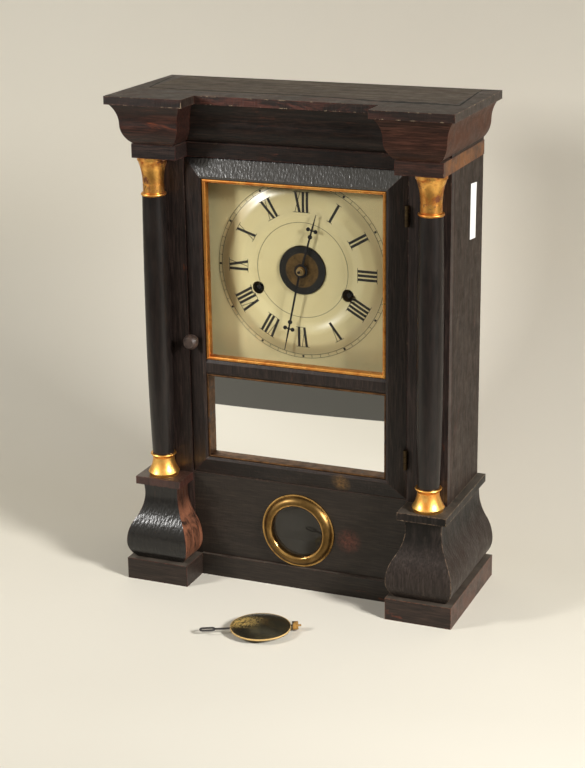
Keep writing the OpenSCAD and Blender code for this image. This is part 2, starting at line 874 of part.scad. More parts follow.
module minute_hand() {
    color("#15161a") {
        placed_hand(minute_l, minute_angle, minute_hand_d, 1.2);
        facing(0, dial_z, minute_hand_d) difference() {
            cylinder(r = 2, h = 2.4, $fn = 32);
            translate([0, 0, -over]) cylinder(r = 1.2, h = 4.4, $fn = 32);
        }
    }
}

module hour_hand() {
    color("#15161a") placed_hand(hour_l, hour_angle, hour_hand_d, hour_pipe_r);
}

// setting disc round the hour pipe
module alarm_disc() {
    color(brass) facing(0, dial_z, alarm_d) difference() {
        union() {
            cylinder(r = alarm_r, h = 0.8, $fn = 96);
            cylinder(r = 6, h = 1.6, $fn = 48);
        }
        translate([0, 0, -over]) cylinder(r = hour_pipe_r + pivot_gap, h = 4, $fn = 48);
    }
}

/* Movement */

main_z = dial_z - winding_drop;
gear_t = 1.2;
great_teeth = 60;
center_pinion_teeth = 12;
center_teeth = 60;
third_pinion_teeth = 8;
third_teeth = 60;
escape_pinion_teeth = 8;
escape_teeth = 30;
main_distance = norm([winding_x, winding_drop]);
great_module = 2 * main_distance / (great_teeth + center_pinion_teeth);
center_module = 0.667;
third_module = 0.6;
center_reach = center_module * (center_teeth + third_pinion_teeth) / 2;
escape_reach = third_module * (third_teeth + escape_pinion_teeth) / 2;
escape_r = 15;
escape_z = verge_z - escape_r - 4.5;
center_pt = [0, dial_z];
escape_pt = [pendulum_x, escape_z];
verge_pt = [pendulum_x, verge_z];

// the point at distances ra from a and rb from b, on the left of the way from a to b
function two_reach(a, b, ra, rb) =
    let (d = norm(b - a), u = (b - a) / d, along = (ra * ra - rb * rb + d * d) / (2 * d))
    a + u * along + [-u[1], u[0]] * sqrt(ra * ra - along * along);

third_pt = two_reach(center_pt, escape_pt, center_reach, escape_reach);
motion_reach = 15;
cannon_teeth = 12;
minute_teeth = 36;
minute_pinion_teeth = 10;
hour_teeth = 40;
motion_module = 2 * motion_reach / (cannon_teeth + minute_teeth);
hour_module = 2 * motion_reach / (minute_pinion_teeth + hour_teeth);
minute_pt = center_pt + motion_reach * [cos(200), sin(200)];
hour_pipe_r = 3.6;
cannon_r = 2.4;

// direction from a to b, as an angle from +X
function heading(a, b) = atan2(b[1] - a[1], b[0] - a[0]);

// toothed outline with a tooth at angle zero
module gear_outline(teeth, size) {
    pitch = 360 / teeth;
    root = size * teeth / 2 - 1.2 * size;
    tip = size * teeth / 2 + 0.8 * size;
    thick = 0.17;
    polygon([for (i = [0:teeth - 1]) for (s = [[-1.35, root], [-0.6, tip], [0.6, tip], [1.35, root]])
        s[1] * [cos((i + s[0] * thick) * pitch), sin((i + s[0] * thick) * pitch)]]);
}

// spoked wheel with its arbor hole
module wheel(teeth, size, phase, bore) {
    root = size * teeth / 2 - 1.2 * size;
    rim = root - 2.2;
    hub = min(root * 0.3, 5);
    difference() {
        linear_extrude(gear_t) difference() {
            rotate(phase) gear_outline(teeth, size);
            if (rim > hub + 4) difference() {
                circle(rim, $fn = 64);
                circle(hub, $fn = 48);
                for (a = [0:90:270]) rotate(a) translate([0, -1]) square([rim, 2]);
            }
        }
        if (bore > 0) translate([0, 0, -over]) cylinder(r = bore, h = gear_t + 2 * over, $fn = 32);
    }
}

module pinion(teeth, size, phase, h) {
    linear_extrude(h) rotate(phase) gear_outline(teeth, size);
}

plate_low = main_z - plate_drop;
plate_high = verge_z + 8;
pivot_r = 0.9;
pillar_r = 3;
pillar_places = [for (x = [-1, 1], z = [plate_low + 4, plate_high - 5]) [x * (plate_half_w - 5), z]];
front_in_d = front_plate_d - plate_t;
inner_pts = [third_pt, escape_pt, verge_pt];
main_pts = [[-winding_x, main_z], [winding_x, main_z]];
hammer_gap = 1;
gong_d = back_t + gong_stand;
gong_out_r = gong_in_r + gong_pitch * gong_turns + gong_wire_r;
hammer_pt = [gong_x + gong_out_r + hammer_gap + hammer_head_l / 2, plate_low + 6];

// plate outline with its windows between the trains
module plate_outline() {
    upper_hole_r = 14;
    lower_hole_r = 11;
    difference() {
        translate([-plate_half_w, plate_low]) square([2 * plate_half_w, plate_high - plate_low]);
        for (s = [-1, 1]) {
            translate([s * (plate_half_w - upper_hole_r - 3), plate_high - upper_hole_r - 13])
                circle(upper_hole_r, $fn = 48);
            translate([s * (plate_half_w - 2 * lower_hole_r), plate_low + lower_hole_r - 3])
                circle(lower_hole_r, $fn = 48);
        }
    }
}

module plate_holes(main_hole_r, center_hole_r) {
    for (p = concat(inner_pts, [hammer_pt])) translate(p) circle(pivot_r + pivot_gap, $fn = 32);
    for (p = main_pts) translate(p) circle(main_hole_r + pivot_gap, $fn = 32);
    translate(center_pt) circle(center_hole_r + pivot_gap, $fn = 32);
}

// back plate with its riveted pillars and the feet that stand on the backboard
module back_plate() {
    color(brass) {
        along_depth(back_plate_d - plate_t, back_plate_d) difference() {
            plate_outline();
            plate_holes(arbor_r, arbor_r);
        }
        for (p = pillar_places)
            facing(p[0], p[1], back_t) cylinder(r = pillar_r, h = front_in_d - back_t, $fn = 32);
    }
}

cock_z = verge_z + 2.4;
cock_t = 3;

// front plate with the cock that the pendulum hangs from
module front_plate() {
    cock_w = 8;
    color(brass) difference() {
        union() {
            along_depth(front_in_d, front_plate_d) difference() {
                plate_outline();
                plate_holes(main_arbor_r, arbor_r);
            }
            board(pendulum_x - cock_w / 2, pendulum_x + cock_w / 2, front_in_d, pendulum_d + 2,
                cock_z, cock_z + cock_t);
            facing(minute_pt[0], minute_pt[1], front_in_d)
                cylinder(r = arbor_r, h = cannon_d + 6 - front_in_d, $fn = 32);
        }
        board(pendulum_x - 2, pendulum_x + 2, pendulum_d - 0.6, pendulum_d + 0.6,
            cock_z - over, cock_z + cock_t + over);
    }
}

main_arbor_r = 2.2;
great_d = back_plate_d + 1.6;

// great wheel on its winding arbor, with the square that the key turns
module main_assembly(x, d, phase) {
    color(brass) facing(x, main_z, d) wheel(great_teeth, great_module, phase, 0);
    color(steel) {
        facing(x, main_z, back_plate_d - plate_t - 0.6)
            cylinder(r = arbor_r, h = plate_t + 1.2, $fn = 32);
        facing(x, main_z, back_plate_d + 0.4)
            cylinder(r = main_arbor_r, h = front_plate_d + 0.6 - back_plate_d, $fn = 32);
        facing(x, main_z, front_plate_d + 0.8) rotate(45)
            translate([-1.6, -1.6, 0]) cube([3.2, 3.2, dial_d - 2.6 - front_plate_d]);
    }
}

module time_great_wheel() {
    main_assembly(winding_x, great_d, heading([winding_x, main_z], center_pt));
}

module strike_great_wheel() {
    main_assembly(-winding_x, great_d + gear_t + 1.4, 0);
}

spring_from_d = great_d + 2 * gear_t + 2;
spring_to_d = front_in_d - 5;

// the two wound springs, each a tight coil inside its last turn, whose end loops
// round a pillar
module mainsprings() {
    strip = 0.8;
    sunk = 0.1;
    last_r = mainspring_r - strip / 2;
    post = [plate_half_w - 5 - winding_x, plate_low + 4 - main_z];
    run = sqrt(pow(norm(post), 2) - pow(last_r, 2));
    color(steel) for (s = [0, 1]) mirror([s, 0, 0]) facing(winding_x, main_z, spring_from_d)
        linear_extrude(spring_to_d - spring_from_d) {
            difference() {
                circle(mainspring_r, $fn = 96);
                circle(mainspring_r - strip, $fn = 96);
            }
            difference() {
                circle(mainspring_r * 0.72, $fn = 96);
                circle(main_arbor_r + 0.3, $fn = 48);
            }
            translate([mainspring_r * 0.7, -strip / 2]) square([mainspring_r * 0.28, strip]);
            rotate(heading([0, 0], post) + acos(last_r / norm(post)))
                translate([last_r - strip / 2 - sunk, -run + pillar_r + strip / 2])
                    square([strip, run - pillar_r - strip / 2]);
            translate(post) difference() {
                circle(pillar_r + 0.1 + strip, $fn = 48);
                circle(pillar_r + 0.1, $fn = 48);
            }
        }
}

center_wheel_d = front_in_d - 3.4;
third_wheel_d = center_wheel_d - 5;
escape_wheel_d = third_wheel_d - 7;
cannon_d = front_plate_d + 1.2;
hour_wheel_d = cannon_d + 3;

// arbor that carries the minute hand: pinion, wheel and cannon
module center_arbor() {
    color(brass) {
        facing(0, dial_z, great_d - 0.6)
            pinion(center_pinion_teeth, great_module,
                heading(center_pt, [winding_x, main_z]) + 180 / center_pinion_teeth, 2.6);
        facing(0, dial_z, center_wheel_d)
            wheel(center_teeth, center_module, heading(center_pt, third_pt), 0);
        facing(0, dial_z, cannon_d)
            pinion(cannon_teeth, motion_module, heading(center_pt, minute_pt), 2.2);
        facing(0, dial_z, cannon_d) cylinder(r = cannon_r, h = minute_hand_d - cannon_d, $fn = 48);
    }
    color(steel) {
        facing(0, dial_z, back_plate_d - plate_t - 0.6)
            cylinder(r = arbor_r, h = minute_hand_d + 0.05 - back_plate_d + plate_t, $fn = 32);
        facing(0, dial_z, minute_hand_d - 0.2) cylinder(r = 1.15, h = 3.6, $fn = 32);
    }
}

module hour_wheel() {
    color(brass) facing(0, dial_z, hour_wheel_d) difference() {
        union() {
            wheel(hour_teeth, hour_module, heading(center_pt, minute_pt), 0);
            cylinder(r = hour_pipe_r - 0.02, h = hour_hand_d + hand_t - hour_wheel_d, $fn = 48);
        }
        translate([0, 0, -over]) cylinder(r = cannon_r + pivot_gap, h = 40, $fn = 48);
    }
}

// wheel and pinion that turn the hour wheel from the cannon
module minute_wheel() {
    back = heading(minute_pt, center_pt);
    color(brass) facing(minute_pt[0], minute_pt[1], cannon_d + 0.5) difference() {
        union() {
            wheel(minute_teeth, motion_module, back + 180 / minute_teeth, 0);
            pinion(minute_pinion_teeth, hour_module, back + 180 / minute_pinion_teeth, 4.6);
        }
        translate([0, 0, -over]) cylinder(r = arbor_r + pivot_gap, h = 8, $fn = 32);
    }
}

// arbor with a pivot in each plate, for the lighter wheels
module light_arbor(p, front_r) {
    color(steel) {
        facing(p[0], p[1], back_plate_d - plate_t - 0.4)
            cylinder(r = pivot_r, h = front_plate_d - back_plate_d + plate_t + 0.8, $fn = 32);
        facing(p[0], p[1], back_plate_d + 0.4)
            cylinder(r = front_r, h = front_in_d - back_plate_d - 0.8, $fn = 32);
    }
}

module third_wheel() {
    light_arbor(third_pt, arbor_r);
    color(brass) {
        facing(third_pt[0], third_pt[1], center_wheel_d - 0.6)
            pinion(third_pinion_teeth, center_module,
                heading(third_pt, center_pt) + 180 / third_pinion_teeth, 2.4);
        facing(third_pt[0], third_pt[1], third_wheel_d)
            wheel(third_teeth, third_module, heading(third_pt, escape_pt), 0);
    }
}

// escape wheel with raked teeth
module escape_wheel() {
    light_arbor(escape_pt, 1.2);
    root = escape_r - 2.4;
    pitch = 360 / escape_teeth;
    color(brass) {
        facing(escape_pt[0], escape_pt[1], third_wheel_d - 0.6)
            pinion(escape_pinion_teeth, third_module,
                heading(escape_pt, third_pt) + 180 / escape_pinion_teeth, 2.4);
        facing(escape_pt[0], escape_pt[1], escape_wheel_d) linear_extrude(gear_t) {
            difference() {
                polygon([for (i = [0:escape_teeth - 1])
                    for (s = [[0, root], [0.42, escape_r], [0.52, escape_r], [0.62, root]])
                        s[1] * [cos((i + s[0]) * pitch), sin((i + s[0]) * pitch)]]);
                difference() {
                    circle(root - 1.6, $fn = 64);
                    circle(3, $fn = 32);
                    for (a = [0:90:270]) rotate(a) translate([0, -0.8]) square([root, 1.6]);
                }
            }
        }
    }
}

// anchor over the escape wheel, and the crutch wire that leads the pendulum rod
module verge() {
    reach = verge_z - escape_z;
    pallet_gap = 0.35;
    swing_r = escape_r + pallet_gap;
    crutch_l = 26;
    loop_r = 1.6;
    wire_r = 0.6;
    light_arbor(verge_pt, 1.2);
    color(steel) {
        facing(verge_pt[0], verge_pt[1], escape_wheel_d - 0.4) linear_extrude(2) difference() {
            union() {
                circle(2.6, $fn = 32);
                intersection() {
                    translate([0, -reach]) difference() {
                        circle(swing_r + 2.2, $fn = 96);
                        circle(swing_r + 0.5, $fn = 96);
                    }
                    translate([-12, -8]) square([24, 8.4]);
                }
                translate([-1, -3.5]) square([2, 3.5]);
            }
        }
        facing(verge_pt[0], verge_pt[1], front_in_d - 0.6)
            cylinder(r = pivot_r, h = pendulum_d - 6 - front_in_d + 0.6, $fn = 32);
        translate([pendulum_x, fy(pendulum_d - 6), verge_z + 0.4]) rotate([180, 0, 0])
            cylinder(r = wire_r, h = crutch_l, $fn = 24);
        translate([pendulum_x, fy(pendulum_d - 6) + wire_r / 2, verge_z - crutch_l]) rotate([90, 0, 0])
            cylinder(r = wire_r, h = 6 - rod_r - 0.6, $fn = 24);
        translate([pendulum_x, fy(pendulum_d), verge_z - crutch_l]) rotate_extrude($fn = 48)
            translate([loop_r - 0.3, 0]) circle(wire_r, $fn = 24);
    }
}

rod_r = 0.6;
rod_l = verge_z - window_z - bob_r - bob_tail - bob_loop_l - 0.1; // so the bob hangs behind its window

// suspension spring, rod and the hook that takes the bob's loop
module pendulum_rod() {
    hook_r = 2.4;
    spring_l = 16;
    block_z = cock_z + cock_t + 0.3;
    color(steel) {
        translate([pendulum_x - 1.6, fy(pendulum_d) - 0.15, verge_z - spring_l])
            cube([3.2, 0.3, block_z + 1 - verge_z + spring_l]);
        translate([pendulum_x - 2.6, fy(pendulum_d) - 1, block_z]) cube([5.2, 2, 1.2]);
        translate([pendulum_x, fy(pendulum_d), verge_z - rod_l + hook_r])
            cylinder(r = rod_r, h = rod_l - spring_l - hook_r + 1, $fn = 24);
        translate([pendulum_x + hook_r, fy(pendulum_d), verge_z - rod_l + hook_r]) rotate([90, 180, 0])
            rotate_extrude(angle = 180, $fn = 48) translate([hook_r, 0]) circle(rod_r, $fn = 24);
    }
}

/* Striking */

gong_step = 24;

// centre line of the gong: a flat spiral whose inner end runs back to the block
function gong_pt(i) =
    let (a = 360 * i / gong_step, r = gong_in_r + gong_pitch * i / gong_step)
    [r * cos(a), r * sin(a)];

// one unbroken six-sided tube along the spiral
module gong_coil() {
    sides = 6;
    rings = gong_turns * gong_step;
    pts = [for (i = [0:rings]) for (k = [0:sides - 1])
        let (a = 360 * i / gong_step, p = gong_pt(i), r = gong_wire_r,
            out = r * cos(360 * k / sides), up = r * sin(360 * k / sides))
        [p[0] + out * cos(a), p[1] + out * sin(a), up]];
    around = [for (i = [0:rings - 1]) for (k = [0:sides - 1])
        let (a = i * sides + k, b = i * sides + (k + 1) % sides, c = a + sides, d = b + sides)
        each [[a, b, d], [a, d, c]]];
    cap_a = [for (k = [1:sides - 2]) [0, k + 1, k]];
    last = rings * sides;
    cap_b = [for (k = [1:sides - 2]) [last, last + k, last + k + 1]];
    echo("least gap between turns of the gong", gong_pitch - 2 * gong_wire_r);
    color(steel) facing(gong_x, gong_z, gong_d) polyhedron(pts, concat(around, cap_a, cap_b));
}

// iron post on the backboard that holds the inner end of the gong
module gong_block() {
    color("#2a2a2c") facing(gong_x, gong_z, back_t) {
        translate([gong_in_r - 3, -6, 0]) cube([6, 12, 3]);
        translate([gong_in_r - 1.8, -5, 0]) cube([3.6, 5, gong_d - back_t + gong_wire_r + 0.6]);
    }
}

// hammer on its arbor, its head beside the end of the gong
module strike_hammer() {
    head_r = 4;
    shank_r = 0.9;
    shank_l = hammer_pt[1] - gong_z;
    light_arbor(hammer_pt, 1.2);
    color(steel) {
        facing(hammer_pt[0], hammer_pt[1], gong_d - 1.5) cylinder(r = 2.6, h = 3, $fn = 32);
        translate([hammer_pt[0], fy(gong_d), gong_z]) cylinder(r = shank_r, h = shank_l, $fn = 24);
    }
    color(brass) translate([hammer_pt[0] - hammer_head_l / 2, fy(gong_d), gong_z]) rotate([0, 90, 0])
        cylinder(r = head_r, h = hammer_head_l, $fn = 48);
}

/* Bob on the floor */

module on_floor() {
    translate([bob_x, fy(bob_d), bob_t / 2]) rotate([0, 0, bob_turn]) children();
}

// brass lens of two caps with a rim, drilled for its rod
module bob_shell() {
    rim_t = 1.4;
    cap_h = (bob_t - rim_t) / 2;
    cap_r = (pow(bob_r - 0.8, 2) + pow(cap_h, 2)) / (2 * cap_h);
    color(brass) on_floor() difference() {
        rotate_extrude($fn = 128) {
            translate([0, -rim_t / 2]) square([bob_r, rim_t]);
            for (s = [-1, 1]) intersection() {
                translate([0, s * (rim_t / 2 + cap_h - cap_r)]) circle(cap_r, $fn = 256);
                translate([0, s > 0 ? 0 : -bob_t]) square([bob_r - 0.8, bob_t]);
            }
        }
        translate([-bob_r - over, 0, 0]) rotate([0, 90, 0])
            cylinder(r = bob_wire_r + 0.02, h = 2 * bob_r + 2 * over, $fn = 32);
    }
}

// wire with its long loop at one end and the rating nut at the other
module bob_rod() {
    loop_r = 2.2;
    loop_l = bob_loop_l;
    wire_end = bob_r + bob_tail;
    nut_at = bob_r + 1;
    color(steel) on_floor() {
        translate([-wire_end, 0, 0]) rotate([0, 90, 0])
            cylinder(r = bob_wire_r, h = wire_end + bob_r + 8, $fn = 32);
        translate([-wire_end - loop_l, 0, 0]) {
            rotate([0, 0, 90]) rotate_extrude(angle = 180, $fn = 48)
                translate([loop_r, 0]) circle(bob_wire_r, $fn = 24);
            for (s = [-1, 1]) translate([0, s * loop_r, 0]) rotate([0, 90, 0])
                cylinder(r = bob_wire_r, h = loop_l - loop_r, $fn = 24);
            translate([loop_l - loop_r, 0, 0]) rotate([0, 0, -90])
                rotate_extrude(angle = 180, $fn = 48) translate([loop_r, 0]) circle(bob_wire_r, $fn = 24);
        }
    }
    color(brass) on_floor() translate([nut_at, 0, 0]) rotate([0, 90, 0]) difference() {
        cylinder(r = 3.4, h = 4.6, $fn = 48);
        for (a = [0:20:340]) rotate(a) translate([3.4, 0, -over]) cylinder(r = 0.35, h = 7, $fn = 16);
    }
}

left_side();
right_side();
backboard();
bottom_board();
left_stile();
right_stile();
base_panel();
base_block_left();
base_block_right();
plinth_left();
plinth_right();
column_left();
column_right();
capital_left();
capital_right();
column_base_left();
column_base_right();
frieze_block_left();
frieze_block_right();
cornice_left();
cornice_center();
cornice_right();
top_rim();
top_board();
window_bezel();
window_glass();
dial_plate();
dial_supports();
case_hinge_leaves();
back_plate();
front_plate();
mainsprings();
gong_coil();
gong_block();
door_left_stile();
door_right_stile();
door_top_rail();
door_mid_rail();
door_bottom_rail();
dial_bead();
mirror_bead();
dial_glass();
mirror_plate();
door_hinge_leaves();
door_knob();
minute_hand();
hour_hand();
alarm_disc();
center_arbor();
hour_wheel();
minute_wheel();
time_great_wheel();
strike_great_wheel();
third_wheel();
escape_wheel();
verge();
pendulum_rod();
strike_hammer();
bob_shell();
bob_rod();
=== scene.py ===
import json
import math

import bpy
from mathutils import Matrix, Vector

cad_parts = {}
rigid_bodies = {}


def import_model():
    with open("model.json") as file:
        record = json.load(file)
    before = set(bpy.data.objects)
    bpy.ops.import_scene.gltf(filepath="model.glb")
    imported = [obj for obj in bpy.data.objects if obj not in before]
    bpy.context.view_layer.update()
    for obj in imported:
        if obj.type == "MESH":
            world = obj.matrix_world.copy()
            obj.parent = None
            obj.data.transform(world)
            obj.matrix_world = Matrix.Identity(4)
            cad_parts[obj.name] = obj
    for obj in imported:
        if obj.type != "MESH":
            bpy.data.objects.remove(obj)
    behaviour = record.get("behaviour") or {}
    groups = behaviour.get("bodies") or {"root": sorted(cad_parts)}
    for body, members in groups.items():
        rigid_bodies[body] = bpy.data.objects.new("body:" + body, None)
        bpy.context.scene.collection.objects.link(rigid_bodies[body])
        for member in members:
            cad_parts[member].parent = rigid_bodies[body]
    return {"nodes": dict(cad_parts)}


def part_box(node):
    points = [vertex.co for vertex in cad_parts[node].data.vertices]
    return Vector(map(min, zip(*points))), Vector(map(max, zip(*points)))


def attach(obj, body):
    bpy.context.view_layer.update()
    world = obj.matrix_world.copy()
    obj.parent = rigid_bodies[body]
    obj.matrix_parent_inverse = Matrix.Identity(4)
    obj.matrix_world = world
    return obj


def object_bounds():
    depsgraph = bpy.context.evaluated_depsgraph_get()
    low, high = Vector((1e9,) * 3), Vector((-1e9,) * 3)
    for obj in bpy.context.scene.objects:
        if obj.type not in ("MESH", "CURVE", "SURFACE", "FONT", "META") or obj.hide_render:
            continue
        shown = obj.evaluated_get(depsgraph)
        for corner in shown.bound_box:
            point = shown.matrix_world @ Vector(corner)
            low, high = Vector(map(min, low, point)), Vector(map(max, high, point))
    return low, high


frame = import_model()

cad_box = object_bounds()

# Camera
# It stands to the right of the clock and a little above it, where the edges of the
# case in the photograph put it, with the long lens of a table-top picture.

camera_place = (0.521969, -1.277472, 0.616567)
yaw, pitch, roll = (math.radians(a) for a in (22.738, 17.937, -0.809))
bpy.ops.object.camera_add(location=camera_place)
camera = bpy.context.object
camera.rotation_euler = (
    Matrix.Rotation(yaw, 3, "Z") @ Matrix.Rotation(math.pi / 2 - pitch, 3, "X")
    @ Matrix.Rotation(roll, 3, "Z")
).to_euler()
camera.data.lens = 83.76
camera.data.sensor_width = 36
camera.data.clip_start = 0.05
bpy.context.scene.camera = camera

# Table and lamps
# The clock stands on a sheet of cream paper that curves up close behind it. A strong
# soft box stands at its right, a weaker one at its left front, and the pale room
# adds little light of its own.


def linear(red, green, blue):
    """The scene colour of an eight-bit display colour."""
    shares = [c / 255 for c in (red, green, blue)]
    return tuple(s / 12.92 if s <= 0.04045 else ((s + 0.055) / 1.055) ** 2.4 for s in shares) + (1.0,)


def put(tree, kind, sockets=(), outlet=0, **settings):
    """Adds one shader node, its menus from settings and its inputs from sockets, and returns an output."""
    node = tree.nodes.new("ShaderNode" + kind)
    for key, value in settings.items():
        setattr(node, key, value)
    for key, value in dict(sockets).items():
        if isinstance(value, bpy.types.NodeSocket):
            tree.links.new(value, node.inputs[key])
        else:
            node.inputs[key].default_value = value
    return node.outputs[outlet]


def blended(tree, share, under, over):
    """One colour laid over another by a share."""
    return put(tree, "Mix", {0: share, 6: under, 7: over}, 2, data_type="RGBA")


def between(tree, value, low, high, start=0.0, end=1.0):
    """The value brought from low..high to start..end and held there."""
    return put(tree, "MapRange", {"Value": value, 1: low, 2: high, 3: start, 4: end})


def maths(tree, how, first, second=0.0):
    """One step of arithmetic on one or two values."""
    return put(tree, "Math", {0: first, 1: second}, operation=how)


def clouds(tree, place, scale, detail, rough=0.55, warp=0.0):
    """An uneven grain from nought to one, the finer the larger its scale."""
    return put(tree, "TexNoise", {"Vector": place, "Scale": scale, "Detail": detail,
                                  "Roughness": rough, "Distortion": warp})


def stretched(tree, place, scale):
    """Coordinates scaled along each axis, so that a grain runs with the wood."""
    return put(tree, "Mapping", {"Vector": place, "Scale": scale})


def only_this(thing):
    """Selects one object alone and makes it the active one."""
    bpy.ops.object.select_all(action="DESELECT")
    thing.select_set(True)
    bpy.context.view_layer.objects.active = thing


def reopened(finish):
    """The node tree of a finish, its shader and its object coordinates."""
    tree = finish.node_tree
    return tree, tree.nodes["Principled BSDF"], put(tree, "TexCoord", outlet="Object")


def start_finish(name):
    """A new finish, with its node tree, shader and object coordinates."""
    finish = bpy.data.materials.new(name)
    finish.use_nodes = True
    return (finish, *reopened(finish))


sheet_wide, sheet_high = 6, 2.2
sheet_front, sheet_back, sheet_curve = -2.4, 0.314, 0.215
near = 0.001
bpy.ops.object.select_all(action="DESELECT")
bpy.ops.mesh.primitive_grid_add(x_subdivisions=60, y_subdivisions=180, size=1)
paper = bpy.context.object
paper.name = "paper_sweep"
paper.scale = (sheet_wide, sheet_back - sheet_front, 1)
paper.location = (0, (sheet_back + sheet_front) / 2, 0)
bpy.ops.object.transform_apply(location=True, rotation=True, scale=True)
for e in paper.data.edges:
    e.select = all(paper.data.vertices[i].co.y > sheet_back - near for i in e.vertices)
for v in paper.data.vertices:
    v.select = v.co.y > sheet_back - near
for p in paper.data.polygons:
    p.select = False
bpy.ops.object.mode_set(mode="EDIT")
bpy.ops.mesh.select_mode(type="EDGE")
bpy.ops.mesh.extrude_region_move(TRANSFORM_OT_translate={"value": (0, 0, sheet_high)})
bpy.ops.object.mode_set(mode="OBJECT")
for v in paper.data.vertices:
    if v.co.y > sheet_back - sheet_curve and v.co.z < near:
        along = (v.co.y - sheet_back + sheet_curve) / sheet_curve * math.pi / 2
        v.co.y = sheet_back - sheet_curve * (1 - math.sin(along))
        v.co.z = sheet_curve * (1 - math.cos(along))
# The sheet lies flat under the clock and dips in slow waves in front of it.
wave_start, wave_long, wave_high = -0.226, 0.297, 0.0066
wave_x, wave_y = 0.273, -0.962
flat_front, fade_long = -0.15, 0.1
for v in paper.data.vertices:
    run = wave_start + wave_x * v.co.x + wave_y * v.co.y
    if run > 0 and v.co.y < flat_front:
        fade = min(1, (flat_front - v.co.y) / fade_long)
        v.co.z -= fade * wave_high * (1 - math.cos(2 * math.pi * run / wave_long))
paper.data.update()
if paper.data.polygons[0].normal.z < 0:
    paper.data.flip_normals()
only_this(paper)
bpy.ops.object.shade_smooth()

paper_finish, tree, shader, place = start_finish("cream_paper")
soft = clouds(tree, place, 3.0, 3.0)
pale = blended(tree, soft, linear(232, 226, 211), linear(238, 233, 220))
# In mirrors the sheet is darker in front of this line, where little light would reach it.
dark_front = -0.4648
past_edge = maths(tree, "LESS_THAN", put(tree, "SeparateXYZ", {0: place}, 1), dark_front)
in_picture = put(tree, "LightPath", outlet="Is Camera Ray")
mirrored = maths(tree, "MULTIPLY", past_edge, maths(tree, "SUBTRACT", 1.0, in_picture))
pale = blended(tree, mirrored, pale, linear(84, 82, 76))
tree.links.new(pale, shader.inputs["Base Color"])
shader.inputs["Roughness"].default_value = 0.9
shader.inputs["Specular IOR Level"].default_value = 0.2
behind = put(tree, "NewGeometry", outlet="Backfacing")
clear = put(tree, "BsdfTransparent")
shown = put(tree, "MixShader", {0: behind, 1: shader.outputs[0], 2: clear})
tree.links.new(shown, tree.nodes["Material Output"].inputs["Surface"])
paper.data.materials.append(paper_finish)

lamps = {
    "lamp_right": (68.5, 22.3, 1.52, 0.3, 66, 4.0, (0.0, -0.08, 0.03)),
    "lamp_left": (-46.6, 22.3, 1.1, 0.17, 180, 6.4, (0.076, 0, 0.1)),
}
clock_middle = Vector((0, 0, 0.2))
warm_white = (1.0, 0.985, 0.96)
for name, (around, up, far, wide, spread, watts, aim) in lamps.items():
    a, e = math.radians(around), math.radians(up)
    towards = Vector((math.sin(a) * math.cos(e), -math.cos(a) * math.cos(e), math.sin(e)))
    stand = clock_middle + towards * far
    bpy.ops.object.light_add(type="AREA", location=stand)
    lamp = bpy.context.object
    lamp.name = name
    lamp.rotation_euler = (stand - Vector(aim)).to_track_quat("Z", "Y").to_euler()
    lamp.data.energy = watts
    lamp.data.size = wide
    lamp.data.spread = math.radians(spread)
    lamp.data.color = warm_white

room = bpy.data.worlds.new("pale_room")
bpy.context.scene.world = room
room.use_nodes = True
tree = room.node_tree
background = tree.nodes["Background"]
rays = tree.nodes.new("ShaderNodeLightPath").outputs
camera_sees = maths(tree, "MAXIMUM", rays["Is Camera Ray"],
                    maths(tree, "MAXIMUM", rays["Is Glossy Ray"], rays["Is Transmission Ray"]))
room_colour = blended(tree, camera_sees, linear(168, 165, 160), linear(226, 220, 205))
tree.links.new(room_colour, background.inputs["Color"])
unseen_light, seen_light = 0.08, 0.9
tree.links.new(between(tree, camera_sees, 0, 1, unseen_light, seen_light), background.inputs["Strength"])
bpy.context.scene.view_settings.view_transform = "Standard"

# Case and mouldings
# The case is softwood under dark rosewood-like veneer and old shellac that has
# crackled. Each board is glued to its neighbours, and the edges are worn red.

MM = 0.001
GRAIN = {"x": (1, 16, 16), "z": (16, 16, 1)}


def edge_share(tree, radius):
    """How near a point lies to a sharp edge, from nought to one."""
    rounded = put(tree, "Bevel", {"Radius": radius}, samples=6)
    flat = put(tree, "NewGeometry", outlet="Normal")
    same = put(tree, "VectorMath", {0: rounded, 1: flat}, 1, operation="DOT_PRODUCT")
    return between(tree, maths(tree, "SUBTRACT", 1.0, same), 0.01, 0.12)


def from_axis(tree, place, middle, kept=(1, 0, 1)):
    """How far a point lies from the axis through a middle, along the direction that isn't kept."""
    moved = put(tree, "Mapping", {"Vector": place, "Scale": kept,
                                  "Location": tuple(-m * k for m, k in zip(middle, kept))})
    return put(tree, "VectorMath", {0: moved}, 1, operation="LENGTH")


